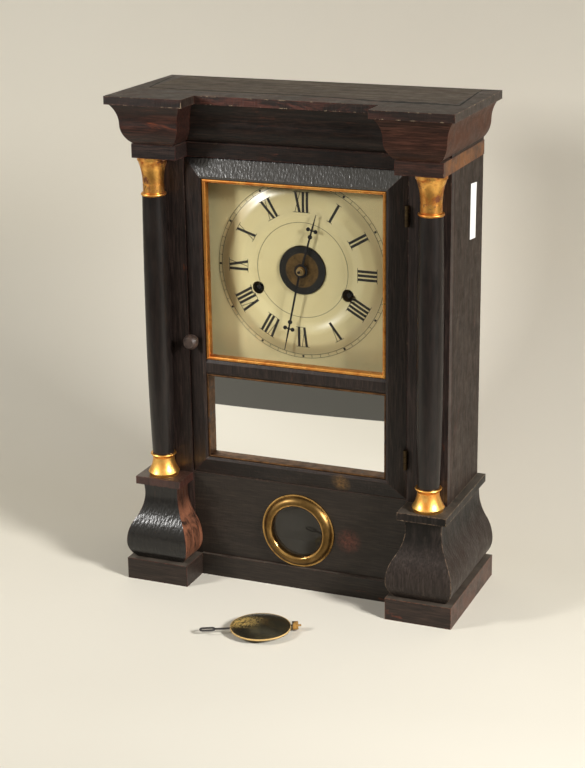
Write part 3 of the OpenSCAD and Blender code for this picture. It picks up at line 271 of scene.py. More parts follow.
def veneer(name, grain, dark, mid, patch=(120, 62, 34), patches=0.2, crackle=0.3, ridges=(650, 650, 60),
           dust=0.5, wear=0.6, worn=(96, 46, 36), chips=0.3, shine=0.34, gloss=0.3, flank=None, cap=None,
           spots=(), red_within=None, coat=0.0, flank_below=None):
    """Old varnished veneer; grain is its direction, ridges the fineness of its crackle."""
    finish, tree, shader, place = start_finish(name)
    facing = put(tree, "TexCoord", outlet="Normal")
    level = put(tree, "SeparateXYZ", {0: place}, 2)
    figure = stretched(tree, place, GRAIN[grain])
    fine = clouds(tree, figure, 55, 8, 0.68, 0.5)
    broad = clouds(tree, figure, 11, 4, 0.6, 1.4)
    colour = blended(tree, between(tree, fine, 0.4, 0.64), linear(*dark), linear(*mid))
    colour = blended(tree, between(tree, broad, 0.42, 0.6, 0.0, 0.65), colour, linear(*dark))
    figure_blot = stretched(tree, place, tuple(0.3 * s + 1 for s in GRAIN[grain]))
    blotch = clouds(tree, figure_blot, 16, 6, 0.65, 0.8)
    streaky = maths(tree, "MULTIPLY", between(tree, blotch, 0.7 - patches * 0.5, 0.8 - patches * 0.5),
                    between(tree, fine, 0.35, 0.6, 0.35, 1.0))
    if red_within:
        aside = maths(tree, "ABSOLUTE", put(tree, "SeparateXYZ", {0: place}, 0))
        streaky = maths(tree, "MULTIPLY", streaky,
                        between(tree, aside, red_within * MM, (red_within + 2) * MM, 1.0, 0.3))
    colour = blended(tree, streaky, colour, linear(*patch))
    # Each spot is a round patch of another tone: a worn place on the base panel, a painted reflection on the
    # door's bottom rail.
    for (x, z, radius), tone in spots:
        off = from_axis(tree, place, (x * MM, 0, z * MM))
        share = maths(tree, "MULTIPLY", between(tree, off, 0.3 * radius * MM, radius * MM, 1.0, 0.0),
                      between(tree, clouds(tree, place, 330, 6, 0.75), 0.4, 0.62, 0.15, 1.0))
        colour = blended(tree, share, colour, linear(*tone))
    if flank:
        turned = put(tree, "SeparateXYZ", {0: facing}, 0)
        share = maths(tree, "MULTIPLY", between(tree, turned, 0.6, 0.9),
                      between(tree, blotch, 0.4, 0.57, 0.12, 1.0))
        if flank_below:
            share = maths(tree, "MULTIPLY", share,
                          between(tree, level, flank_below * MM, (flank_below + 14) * MM, 1.0, 0.2))
        share = maths(tree, "MULTIPLY", share, between(tree, fine, 0.3, 0.6, 0.8, 1.0))
        colour = blended(tree, share, colour, linear(*flank))
    if cap:
        cap_z, cap_tone, cap_fade = cap
        share = maths(tree, "MULTIPLY", between(tree, level, cap_z * MM, (cap_z + cap_fade) * MM),
                      between(tree, blotch, 0.35, 0.55, 0.25, 0.95))
        colour = blended(tree, share, colour, linear(*cap_tone))
    pits = clouds(tree, place, 420, 6, 0.75)
    near_edge = edge_share(tree, 1.5 * MM)
    rub = maths(tree, "MULTIPLY", near_edge, between(tree, pits, 0.42, 0.58))
    colour = blended(tree, maths(tree, "MULTIPLY", rub, wear), colour, linear(*worn))
    flakes = clouds(tree, place, 210, 5, 0.7)
    bare = maths(tree, "MULTIPLY", near_edge, between(tree, flakes, 0.62 - 0.07 * chips, 0.68 - 0.07 * chips))
    colour = blended(tree, maths(tree, "MULTIPLY", bare, chips), colour, linear(168, 148, 122))
    up = put(tree, "SeparateXYZ", {0: facing}, 2)
    settled = clouds(tree, place, 90, 8, 0.7, 0.4)
    grey = maths(tree, "MULTIPLY", between(tree, up, 0.5, 0.95), between(tree, settled, 0.34, 0.62, 0.3, 1.0))
    colour = blended(tree, maths(tree, "MULTIPLY", grey, dust), colour, linear(112, 103, 92))
    tree.links.new(colour, shader.inputs["Base Color"])
    ridge = clouds(tree, stretched(tree, place, tuple(r / 100 for r in ridges)), 100, 1, 0.5, 0.1)
    pores = clouds(tree, figure, 130, 6, 0.75)
    height = maths(tree, "ADD", maths(tree, "MULTIPLY", between(tree, ridge, 0.3, 0.7), crackle),
                   maths(tree, "MULTIPLY", pores, 0.3))
    bump = put(tree, "Bump", {"Strength": 0.9, "Distance": 0.22 * MM, "Height": height})
    tree.links.new(bump, shader.inputs["Normal"])
    rough = maths(tree, "ADD", between(tree, settled, 0.3, 0.7, shine, shine * 1.6),
                  maths(tree, "MULTIPLY", grey, dust * 0.4))
    tree.links.new(rough, shader.inputs["Roughness"])
    shader.inputs["Specular IOR Level"].default_value = gloss
    if coat:
        shader.inputs["Coat Weight"].default_value = coat
        shader.inputs["Coat Roughness"].default_value = shine * 0.8
        tree.links.new(bump, shader.inputs["Coat Normal"])
    return finish


def dress(finish, *names):
    """Gives pieces of the frame a finish."""
    for name in names:
        node = frame["nodes"][name]
        node.data.materials.clear()
        node.data.materials.append(finish)


dress(veneer("side_veneer", "z", (27, 20, 16), (76, 64, 56), (72, 42, 34), 0.14, 0.25, dust=0.3, shine=0.42,
             gloss=0.15), "right_side")
dress(veneer("left_side_veneer", "z", (32, 24, 20), (66, 54, 47), (72, 42, 34), 0.14, 0.25, dust=0.3,
             shine=0.42), "left_side")
dress(veneer("stile_veneer", "z", (30, 23, 21), (70, 56, 51), patches=0.1, wear=0.3),
      "left_stile", "right_stile")
window_lo, window_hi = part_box("window_bezel")
window_z = (window_lo.z + window_hi.z) / 2 / MM
dress(veneer("panel_veneer", "x", (32, 27, 23), (54, 45, 38), patches=0.08, wear=0.3,
             spots=(((44, window_z - 3, 12), (100, 58, 47)),)), "base_panel")
dress(veneer("left_plinth_veneer", "x", (32, 25, 21), (60, 48, 41), (104, 58, 44), 0.1, 0.15, wear=0.7),
      "plinth_left")
dress(veneer("right_plinth_veneer", "x", (32, 25, 21), (62, 47, 40), (112, 58, 42), 0.14, 0.15, wear=1.0,
             worn=(120, 76, 56), flank=(80, 54, 44)), "plinth_right")
dress(veneer("left_block_veneer", "z", (9, 8, 8), (24, 20, 18), (80, 42, 30), 0.05, 0.8, (560, 560, 100),
             shine=0.27, gloss=0.15, dust=0.2, flank=(140, 90, 66), flank_below=56,
             cap=(83, (66, 39, 33), 1), coat=0.7), "base_block_left")
dress(veneer("right_block_veneer", "z", (40, 34, 31), (66, 57, 52), (80, 58, 49), 0.1, 0.5, (560, 560, 80),
             gloss=0.15, worn=(132, 110, 90), wear=0.9, flank=(38, 27, 22),
             cap=(52, (22, 20, 18), 14), chips=0.5), "base_block_right")
dress(veneer("left_cornice_veneer", "x", (24, 16, 14), (76, 44, 34), (128, 62, 34), 0.1, 0.2, wear=0.4),
      "cornice_left")
dress(veneer("right_cornice_veneer", "x", (42, 28, 23), (90, 58, 46), (140, 80, 44), 0.16, 0.2, wear=0.4,
             gloss=0.12, flank=(74, 42, 26)), "cornice_right")
dress(veneer("centre_cornice_veneer", "x", (15, 11, 10), (52, 36, 29), (80, 44, 32), 0.18, 0.15, wear=0.4,
             gloss=0.24), "cornice_center")
dress(veneer("left_frieze_veneer", "x", (24, 18, 17), (62, 48, 43), (92, 58, 44), 0.16, 0.3, gloss=0.22),
      "frieze_block_left")
dress(veneer("right_frieze_veneer", "x", (34, 22, 18), (74, 47, 38), (124, 74, 42), 0.16, 0.3,
             flank=(116, 72, 34)), "frieze_block_right")
dress(veneer("rim_veneer", "x", (24, 18, 16), (56, 40, 34), (96, 56, 47), 0.46, 0.6, dust=0.2, wear=0.8,
             worn=(98, 62, 52), chips=1.0, flank=(52, 44, 38), red_within=69), "top_rim")
dress(veneer("rail_veneer", "z", (14, 12, 12), (34, 29, 27), patches=0.03, crackle=0.6, ridges=(640, 640, 100),
             shine=0.25, gloss=0.5, wear=0.2, coat=0.9), "door_top_rail")
dress(veneer("door_veneer", "z", (26, 21, 19), (60, 48, 43), patches=0.04, crackle=0.5, wear=0.2),
      "door_left_stile", "door_right_stile", "door_mid_rail")
foot_lo, foot_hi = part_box("door_bottom_rail")
foot_rail_z = (foot_lo.z + foot_hi.z) / 2 / MM
# The gold-brown spot on this rail is a painted reflection of the window's brass bezel below it.
dress(veneer("foot_rail_veneer", "x", (20, 16, 14), (50, 40, 35), (128, 68, 38), 0.06, 0.4, wear=0.3,
             spots=(((39, foot_rail_z, 9), (124, 92, 52)),)), "door_bottom_rail")
dress(veneer("top_veneer", "x", (54, 46, 41), (148, 134, 118), (78, 58, 48), 0.3, 0.4, dust=0.36, shine=0.5,
             gloss=0.25), "top_board")

# Joints of the top
# Dark strips lie along the joints between the top board and its moulded edge,
# widest at the front right.


def two_toned(name, grain, dark, light, spread, roughness):
    """A plain finish whose two tones and roughness follow one fine grain."""
    finish, tree, shader, place = start_finish(name)
    grain = clouds(tree, place, *grain, 0.7)
    tree.links.new(blended(tree, between(tree, grain, *spread), linear(*dark), linear(*light)),
                   shader.inputs["Base Color"])
    tree.links.new(between(tree, grain, 0.3, 0.7, *roughness), shader.inputs["Roughness"])
    return finish


def fine_plane(name, cuts):
    """A flat square one metre wide, cut into small faces so that it can be shaped."""
    bpy.ops.object.select_all(action="DESELECT")
    bpy.ops.mesh.primitive_plane_add(size=1)
    plane = bpy.context.object
    plane.name = name
    bpy.ops.object.mode_set(mode="EDIT")
    bpy.ops.mesh.select_all(action="SELECT")
    bpy.ops.mesh.subdivide(number_cuts=cuts)
    bpy.ops.object.mode_set(mode="OBJECT")
    return plane


def thicken(sheet, thickness, side):
    """Gives a flat sheet its thickness, to one side with one and to both with nought."""
    only_this(sheet)
    body = sheet.modifiers.new("body", "SOLIDIFY")
    body.thickness = thickness
    body.offset = side
    bpy.ops.object.modifier_apply(modifier="body")


case_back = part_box("backboard")[1].y


def ahead(depth):
    """The y of a plane so many millimetres in front of the back of the case."""
    return case_back - depth * MM


joint_dark = two_toned("joint_dark", (300, 5), (6, 6, 5), (20, 18, 16), (0.4, 0.65), (0.8, 0.95))
joint_t = 0.04 * MM
joint_z = cad_box[1].z + 0.03 * MM
# Each point is its place across, its distance in front of the back, and the joint's width.
joints_of_top = {
    "front_joint": ((-127.5, 68, 1.2), (-92, 71, 2.2), (-69, 71, 2.2), (0, 70, 2.4), (34, 74, 2.6),
                    (66, 79, 4.0), (84, 79, 6.4), (106, 78.5, 6.4), (119, 79.5, 4.0), (132.5, 81, 1.8)),
    "left_joint": ((-136.4, 4, 0.6), (-131.7, 43, 1.1), (-127.7, 68, 1.2)),
    "right_joint": ((127.6, 3, 0.6), (127, 16, 1.0), (130, 52, 1.4), (132.5, 81, 1.6)),
}
for name, points in joints_of_top.items():
    strip = fine_plane(name, 8 * len(points) - 9)
    for v in strip.data.vertices:
        along = (v.co.x + 0.5) * (len(points) - 1)
        leg = min(int(along), len(points) - 2)
        (x0, d0, w0), (x1, d1, w1) = points[leg], points[leg + 1]
        share = along - leg
        run = Vector((x1 - x0, d0 - d1)).normalized()
        ragged = 1 + 0.25 * math.sin(9.0 * along + 6 * v.co.y)
        off = (w0 + (w1 - w0) * share) * v.co.y * ragged
        v.co = ((x0 + (x1 - x0) * share - run.y * off) * MM,
                ahead(d0 + (d1 - d0) * share) + run.x * off * MM, joint_z)
    thicken(strip, joint_t, 0)
    strip.data.materials.append(joint_dark)
    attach(strip, "case")

# Paper piece on the right side
# It is a blank slip of white paper, pasted on high up near the back, a little askew
# and with one corner just lifting.

slip_paper = two_toned("slip_paper", (400, 5), (236, 235, 231), (248, 248, 246), (0.3, 0.7), (0.75, 0.9))
slip_w, slip_h, slip_t = 14.4 * MM, 44 * MM, 0.12 * MM
slip_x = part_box("right_side")[1].x + 0.08 * MM
slip_y, slip_z = ahead(25.5), 315.6 * MM
lean_of_long, lean_of_short = 0.02, -0.09
lift_from, lift = 0.7, 2.4 * MM
slip = fine_plane("paper_slip", 19)
for v in slip.data.vertices:
    curl = max(0, v.co.x + v.co.y - lift_from) ** 2 * lift
    v.co = (slip_x + curl, slip_y + v.co.x * slip_w + lean_of_long * v.co.y * slip_h,
            slip_z + v.co.y * slip_h + lean_of_short * v.co.x * slip_w)
thicken(slip, slip_t, 1)
slip.data.materials.append(slip_paper)
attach(slip, "case")

# Plain boards
# The backboard, the bottom board and the dial's battens are bare pine, brown with age.
# They are sawn and planed, and never had a finish.

bare_pine, tree, shader, place = start_finish("bare_pine")
figure = stretched(tree, place, (12, 12, 1))
rings = clouds(tree, figure, 22, 6, 0.6, 1.5)
colour = blended(tree, between(tree, rings, 0.3, 0.7), linear(92, 62, 38), linear(142, 102, 64))
stain = clouds(tree, place, 14, 4, 0.6)
colour = blended(tree, between(tree, stain, 0.45, 0.75, 0, 0.6), colour, linear(66, 46, 32))
tree.links.new(colour, shader.inputs["Base Color"])
tree.links.new(between(tree, rings, 0.3, 0.7, 0.75, 0.6), shader.inputs["Roughness"])
bump = put(tree, "Bump", {"Strength": 0.5, "Distance": 0.2 * MM, "Height": clouds(tree, figure, 90, 5, 0.7)})
tree.links.new(bump, shader.inputs["Normal"])
dress(bare_pine, "backboard", "bottom_board", "dial_supports")

# Nails of the backboard
# Iron nails with small rusty heads hold it to the two sides, five along each. They
# were driven flush, and their heads now stand a little proud.


def round_head(sides, radius, height, rounding, steps):
    """A small round head that faces along y, with its edge rounded."""
    bpy.ops.object.select_all(action="DESELECT")
    bpy.ops.mesh.primitive_cylinder_add(vertices=sides, radius=radius, depth=height,
                                        rotation=(math.pi / 2, 0, 0))
    head = bpy.context.object
    bpy.ops.object.transform_apply(location=True, rotation=True, scale=True)
    bpy.ops.object.mode_set(mode="EDIT")
    bpy.ops.mesh.select_all(action="SELECT")
    bpy.ops.mesh.bevel(offset=rounding, segments=steps)
    bpy.ops.object.mode_set(mode="OBJECT")
    bpy.ops.object.shade_smooth_by_angle(angle=math.radians(40))
    return head


def copied(model, name, where):
    """A copy of a small piece with a mesh of its own, moved to its place."""
    copy = model.copy()
    copy.data = model.data.copy()
    copy.name = name
    bpy.context.collection.objects.link(copy)
    copy.data.transform(where)
    return copy


rusty_iron = two_toned("rusty_iron", (500, 6), (48, 38, 34), (104, 62, 38), (0.35, 0.65), (0.6, 0.85))
rusty_iron.node_tree.nodes["Principled BSDF"].inputs["Metallic"].default_value = 0.4
nail_r, nail_h, nail_rounding = 1.7 * MM, 0.8 * MM, 0.3 * MM
nail = round_head(12, nail_r, nail_h, nail_rounding, 2)
nail.data.materials.append(rusty_iron)
board_lo, board_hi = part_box("backboard")
from_edge, nail_rows, nail_turn = 6 * MM, 5, 0.4
nail_y = board_hi.y + 0.35 * MM
row_step = (board_hi.z - board_lo.z - 2 * from_edge) / (nail_rows - 1)
nail_places = [(x, board_lo.z + from_edge + i * row_step)
               for x in (board_lo.x + from_edge, board_hi.x - from_edge) for i in range(nail_rows)]
for i, (x, z) in enumerate(nail_places):
    at_head = Matrix.Translation((x, nail_y, z)) @ Matrix.Rotation(nail_turn * i, 4, "Y")
    copy = copied(nail, f"backboard_nail_{i + 1:02d}", at_head)
    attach(copy, "case")
bpy.data.objects.remove(nail)

# Columns and knob
# Each column is turned in one piece, ebonised and polished, and held at both ends. The
# door's knob is turned from the same wood, with its black rubbed off by fingers.

ebony_black, tree, shader, place = start_finish("ebony_black")
streak = clouds(tree, stretched(tree, place, (9, 9, 1)), 60, 6, 0.6, 0.4)
colour = blended(tree, between(tree, streak, 0.35, 0.7), linear(17, 14, 13), linear(37, 29, 26))
tree.links.new(colour, shader.inputs["Base Color"])
smear = clouds(tree, place, 40, 5, 0.6)
tree.links.new(between(tree, smear, 0.3, 0.7, 0.3, 0.42), shader.inputs["Roughness"])
shader.inputs["Specular IOR Level"].default_value = 0.28
shader.inputs["Coat Weight"].default_value = 0.18
shader.inputs["Coat Roughness"].default_value = 0.14
bump = put(tree, "Bump", {"Strength": 0.35, "Distance": 0.12 * MM, "Height": streak})
tree.links.new(bump, shader.inputs["Normal"])
dress(ebony_black, "column_left", "column_right")

worn_knob, tree, shader, place = start_finish("worn_knob")
smear = clouds(tree, place, 260, 6, 0.7)
tree.links.new(blended(tree, between(tree, smear, 0.35, 0.65), linear(36, 28, 25), linear(76, 59, 50)),
               shader.inputs["Base Color"])
tree.links.new(between(tree, smear, 0.3, 0.7, 0.34, 0.6), shader.inputs["Roughness"])
bump = put(tree, "Bump", {"Strength": 0.4, "Distance": 0.12 * MM, "Height": smear})
tree.links.new(bump, shader.inputs["Normal"])
dress(worn_knob, "door_knob")

# Capitals, column bases and glazing beads
# They are turned or planed wood under gesso and gold leaf, rubbed brown in places. The
# bead round the mirror has lost most of its leaf.


def gold_leaf(name, bright, deep, rubbed, rub, shine):
    """Mottled leaf, worn through in spots that grow with rub."""
    finish, tree, shader, place = start_finish(name)
    mottle = clouds(tree, place, 130, 6, 0.62, 0.3)
    colour = blended(tree, between(tree, mottle, 0.35, 0.66), linear(*bright), linear(*deep))
    bare = clouds(tree, place, 75, 6, 0.7)
    gone = between(tree, bare, 0.72 - 0.25 * rub, 0.8 - 0.25 * rub)
    colour = blended(tree, gone, colour, linear(*rubbed))
    tree.links.new(colour, shader.inputs["Base Color"])
    tree.links.new(between(tree, gone, 0, 1, 1.0, 0.35), shader.inputs["Metallic"])
    tree.links.new(between(tree, mottle, 0.3, 0.7, shine, shine + 0.2), shader.inputs["Roughness"])
    height = maths(tree, "ADD", mottle, bare)
    bump = put(tree, "Bump", {"Strength": 0.4, "Distance": 0.12 * MM, "Height": height})
    tree.links.new(bump, shader.inputs["Normal"])
    return finish


dress(gold_leaf("leaf_on_bases", (255, 208, 118), (222, 144, 62), (132, 76, 38), 0.35, 0.3),
      "column_base_left", "column_base_right")
dress(gold_leaf("leaf_on_capitals", (255, 196, 104), (176, 102, 46), (116, 66, 36), 0.75, 0.27),
      "capital_left", "capital_right")
dress(gold_leaf("leaf_on_bead", (236, 172, 92), (186, 112, 52), (120, 66, 36), 0.3, 0.24), "dial_bead")
dress(gold_leaf("worn_bead", (112, 80, 52), (66, 48, 35), (40, 31, 26), 0.6, 0.36), "mirror_bead")

# Brass work
# The window's bezel is spun brass; the hinges, plates and wheels are sheet and cast
# brass, all gone dull and brown except where they are handled.


def old_brass(name, bright, dull, tarnish, tarnished, shine):
    """Brass between a bright and a dull tone, with dark spots of tarnish."""
    finish, tree, shader, place = start_finish(name)
    haze = clouds(tree, place, 60, 6, 0.6, 0.4)
    colour = blended(tree, between(tree, haze, 0.35, 0.7), linear(*bright), linear(*dull))
    spots = clouds(tree, place, 180, 5, 0.68)
    dark = between(tree, spots, 0.7 - 0.25 * tarnished, 0.82 - 0.25 * tarnished, 0, 0.85)
    colour = blended(tree, dark, colour, linear(*tarnish))
    tree.links.new(colour, shader.inputs["Base Color"])
    shader.inputs["Metallic"].default_value = 1.0
    tree.links.new(between(tree, haze, 0.3, 0.75, shine, shine + 0.25), shader.inputs["Roughness"])
    bump = put(tree, "Bump", {"Strength": 0.25, "Distance": 0.1 * MM, "Height": spots})
    tree.links.new(bump, shader.inputs["Normal"])
    return finish


def tone_of(shader):
    """What is joined to the colour of a finish so far."""
    return shader.inputs["Base Color"].links[0].from_socket


bezel_brass = old_brass("bezel_brass", (196, 156, 94), (136, 104, 60), (78, 57, 34), 0.5, 0.24)
tree, shader, place = reopened(bezel_brass)
out = from_axis(tree, place, (0, 0, window_z * MM))
bezel_r = (window_hi.x - window_lo.x) / 2
# The slope between lip and rim is made darker: partly tarnish, partly a painted dark reflection of its
# surroundings.
past_lip = between(tree, out, bezel_r - 8.0 * MM, bezel_r - 7.2 * MM)
within_rim = between(tree, out, bezel_r - 1.3 * MM, bezel_r - 0.9 * MM, 1.0, 0.0)
slope = maths(tree, "MULTIPLY", past_lip, within_rim)
tarnish_and_dark_reflection = maths(tree, "MULTIPLY", slope, between(tree, clouds(tree, place, 90, 6, 0.65), 0.3, 0.6, 0.6, 1.0))
tree.links.new(blended(tree, tarnish_and_dark_reflection, tone_of(shader), linear(98, 75, 42)), shader.inputs["Base Color"])
tree.links.new(between(tree, slope, 0, 1, 0.2, 0.36), shader.inputs["Roughness"])
dress(bezel_brass, "window_bezel")
dress(old_brass("hinge_brass", (78, 64, 44), (50, 41, 31), (32, 27, 23), 0.6, 0.5),
      "case_hinge_leaves", "door_hinge_leaves")
sheet_brass = (204, 160, 86), (160, 122, 62), (98, 72, 40), 0.35, 0.3
dress(old_brass("plate_brass", *sheet_brass), "back_plate", "hour_wheel")


def with_middle(finish, node, inner, outer, tone, metal):
    """Gives a finish another tone round a node's axis, which fades from an inner to an outer radius."""
    tree, shader, place = reopened(finish)
    lo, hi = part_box(node)
    inside = between(tree, from_axis(tree, place, (lo + hi) / 2), inner * MM, outer * MM, 1.0, 0.0)
    tree.links.new(blended(tree, inside, tone_of(shader), linear(*tone)), shader.inputs["Base Color"])
    metal_outside = shader.inputs["Metallic"].default_value
    tree.links.new(between(tree, inside, 0, 1, metal_outside, metal), shader.inputs["Metallic"])
    return finish


# The wheels turn on steel arbors.
for name in ("center_arbor", "minute_wheel", "third_wheel", "escape_wheel",
             "time_great_wheel", "strike_great_wheel"):
    wheel_brass = old_brass(name + "_brass", (206, 164, 90), (160, 124, 66), (98, 72, 42), 0.3, 0.28)
    dress(with_middle(wheel_brass, name, 3.3, 3.7, (46, 44, 44), 0.7), name)

# The front plate is painted near black round the two winding arbors: painted shade, for the darkness seen
# through the dial's winding holes.
front_brass = old_brass("front_plate_brass", *sheet_brass)
for name in ("time_great_wheel", "strike_great_wheel"):
    with_middle(front_brass, name, 8.7, 9.1, (22, 20, 17), 0.1)
dress(front_brass, "front_plate")

# Steel and iron work
# Springs, verge, rod, hammer and gong are grey steel, and the hands are blued. The
# gong stands on a japanned iron block, and the minute hand turns on a brass collet.


def old_steel(name, bright, dull, metal=1.0, shine=0.34):
    """Steel or iron between a bright and a dull tone."""
    finish, tree, shader, place = start_finish(name)
    haze = clouds(tree, place, 90, 6, 0.6, 0.3)
    colour = blended(tree, between(tree, haze, 0.35, 0.7), linear(*bright), linear(*dull))
    tree.links.new(colour, shader.inputs["Base Color"])
    shader.inputs["Metallic"].default_value = metal
    tree.links.new(between(tree, haze, 0.3, 0.75, shine, shine + 0.25), shader.inputs["Roughness"])
    bump = put(tree, "Bump", {"Strength": 0.2, "Distance": 0.08 * MM, "Height": haze})
    tree.links.new(bump, shader.inputs["Normal"])
    return finish


dress(old_steel("grey_steel", (168, 168, 172), (104, 100, 98)),
      "mainsprings", "gong_coil", "verge", "pendulum_rod", "strike_hammer")
dress(old_steel("japanned_iron", (36, 36, 38), (24, 22, 22), 0.3, 0.4), "gong_block")
blued = (26, 26, 32), (14, 14, 17), 0.5, 0.34
dress(old_steel("blued_steel", *blued), "hour_hand")
collet_steel = old_steel("steel_with_brass_collet", *blued)
dress(with_middle(collet_steel, "alarm_disc", 3.0, 3.3, (172, 150, 108), 0.9), "minute_hand")

# Loose bob
# A pressed brass lens with a turned edge. Its near black tone is partly tarnish and partly
# a painted dark reflection, its left side is rubbed brass with a painted highlight, and a
# painted highlight runs round its rim. Its steel wire ends in a loop, and a milled brass nut below sets its
# height.

bob_brass, tree, shader, place = start_finish("bob_brass")
bob_lo, bob_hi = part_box("bob_shell")
bob_w = bob_hi.x - bob_lo.x
across, deep, high = (put(tree, "SeparateXYZ", {0: place}, axis) for axis in range(3))
haze = clouds(tree, place, 110, 6, 0.65, 0.5)
# Near black brass: partly tarnish, partly a painted dark reflection.
colour = blended(tree, between(tree, haze, 0.35, 0.65), linear(92, 86, 66), linear(66, 64, 54))
flecks = clouds(tree, place, 380, 6, 0.75, 0.3)
past_left = between(tree, across, bob_lo.x, bob_lo.x + 0.06 * bob_w)
before_right = between(tree, across, bob_lo.x + 0.2 * bob_w, bob_lo.x + 0.6 * bob_w, 1.0, 0.0)
left_part = maths(tree, "MULTIPLY", past_left, before_right)
band_y = bob_lo.y + 0.48 * (bob_hi.y - bob_lo.y)
off_band = maths(tree, "ABSOLUTE", maths(tree, "SUBTRACT", deep, band_y))
left_part = maths(tree, "MULTIPLY", left_part, between(tree, off_band, 0.12 * bob_w, 0.26 * bob_w, 1.0, 0.0))
# The bright left side is rubbed brass with a painted highlight on it.
rubbed = maths(tree, "MULTIPLY", left_part, between(tree, flecks, 0.4, 0.56))
colour = blended(tree, rubbed, colour, linear(255, 216, 128))
# A painted highlight runs round the rim, above its seam.
out = from_axis(tree, place, (bob_lo + bob_hi) / 2, (1, 1, 0))
at_edge = between(tree, out, bob_w / 2 - 0.9 * MM, bob_w / 2 - 0.4 * MM)
above_seam = between(tree, high, 4.1 * MM, 4.5 * MM, 0.35, 1.0)
edge = maths(tree, "MULTIPLY", at_edge, above_seam)
colour = blended(tree, edge, colour, linear(238, 200, 134))
tree.links.new(colour, shader.inputs["Base Color"])
bright = maths(tree, "MAXIMUM", rubbed, edge)
tree.links.new(between(tree, bright, 0, 1, 0.75, 0.35), shader.inputs["Metallic"])
tree.links.new(between(tree, rubbed, 0, 1, 0.24, 0.4), shader.inputs["Roughness"])
height = maths(tree, "MULTIPLY", flecks, between(tree, left_part, 0, 1, 0.15, 1.0))
bump = put(tree, "Bump", {"Strength": 0.5, "Distance": 0.14 * MM, "Height": height})
tree.links.new(bump, shader.inputs["Normal"])
dress(bob_brass, "bob_shell")

bob_wire, tree, shader, place = start_finish("bob_wire")
across = put(tree, "SeparateXYZ", {0: place}, 0)
haze = clouds(tree, place, 160, 6, 0.65)
at_nut = between(tree, across, bob_hi.x - 0.3 * MM, bob_hi.x)
steel_tone = blended(tree, between(tree, haze, 0.35, 0.65), linear(92, 90, 92), linear(56, 52, 50))
brass_tone = blended(tree, between(tree, haze, 0.35, 0.65), linear(226, 182, 108), linear(140, 102, 56))
tree.links.new(blended(tree, at_nut, steel_tone, brass_tone), shader.inputs["Base Color"])
shader.inputs["Metallic"].default_value = 1.0
tree.links.new(between(tree, haze, 0.3, 0.7, 0.3, 0.5), shader.inputs["Roughness"])
milling = put(tree, "TexWave", {"Vector": place, "Scale": 260.0}, 1, bands_direction="Z")
height = maths(tree, "MULTIPLY", milling, at_nut)
bump = put(tree, "Bump", {"Strength": 0.6, "Distance": 0.3 * MM, "Height": height})
tree.links.new(bump, shader.inputs["Normal"])
dress(bob_wire, "bob_rod")

# Glass and mirror
# The dial glass and the window glass are thin old sheet, the window's darkened by dirt.
# The mirror is silvered glass, a little grey and spotted in places.


def sheet_glass(name, tint, haze_tone, haze_share):
    """Thin clear glass: it mirrors a little by its angle and carries a thin film of dust."""
    finish, tree, shader, place = start_finish(name)
    film = clouds(tree, place, 30, 4, 0.6)
    tree.links.new(between(tree, film, 0.3, 0.7, 0.02, 0.05), shader.inputs["Roughness"])
    shader.inputs["Base Color"].default_value = linear(250, 250, 250)
    shader.inputs["Metallic"].default_value = 1.0
    slant = maths(tree, "POWER", put(tree, "LayerWeight", {"Blend": 0.5}, 1), 5.0)
    mirrored = between(tree, slant, 0, 1, 0.03, 0.9)
    dust = put(tree, "BsdfDiffuse", {"Color": linear(*haze_tone)})
    passes = put(tree, "BsdfTransparent", {"Color": linear(*tint)})
    dusty = between(tree, film, 0.3, 0.7, haze_share * 0.7, haze_share)
    through = put(tree, "MixShader", {0: dusty, 1: passes, 2: dust})
    shown = put(tree, "MixShader", {0: mirrored, 1: through, 2: shader.outputs[0]})
    tree.links.new(shown, tree.nodes["Material Output"].inputs["Surface"])
    return finish


dress(sheet_glass("dial_sheet_glass", (255, 255, 254), (150, 145, 130), 0.004), "dial_glass")
dress(sheet_glass("window_sheet_glass", (130, 128, 120), (96, 92, 84), 0.3), "window_glass")

silvered, tree, shader, place = start_finish("silvered_glass")
tarnish = between(tree, clouds(tree, place, 70, 7, 0.7), 0.68, 0.8, 0, 0.6)
colour = blended(tree, tarnish, linear(253, 253, 251), linear(150, 146, 138))
tree.links.new(colour, shader.inputs["Base Color"])
shader.inputs["Metallic"].default_value = 1.0
tree.links.new(between(tree, tarnish, 0, 1, 0.01, 0.2), shader.inputs["Roughness"])
dress(silvered, "mirror_plate")

# Backing of the mirror
# A thin board of dark card lies behind the silvering, glued into the rebate.

dark_card = two_toned("dark_card", (120, 7), (74, 60, 46), (112, 94, 72), (0.35, 0.65), (0.8, 0.95))
glass_lo, glass_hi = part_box("mirror_plate")
card_t, card_play, card_rounding = 1.6 * MM, 0.6 * MM, 0.3 * MM
card_middle = Vector(((glass_lo.x + glass_hi.x) / 2, glass_hi.y + card_t / 2, (glass_lo.z + glass_hi.z) / 2))
card_w, card_h = glass_hi.x - glass_lo.x - card_play, glass_hi.z - glass_lo.z - card_play
bpy.ops.object.select_all(action="DESELECT")
bpy.ops.mesh.primitive_cube_add(size=1)
backing = bpy.context.object
backing.name = "mirror_backing"
backing.data.transform(Matrix.Translation(card_middle) @ Matrix.Diagonal((card_w, card_t, card_h, 1)))
bpy.ops.object.mode_set(mode="EDIT")
bpy.ops.mesh.select_all(action="SELECT")
bpy.ops.mesh.bevel(offset=card_rounding, segments=2)
bpy.ops.object.mode_set(mode="OBJECT")
backing.data.materials.append(dark_card)
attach(backing, "door")

# Dial
# Thin zinc with a pressed ring, painted cream and printed in black. Four brass pins
# hold it to its battens.

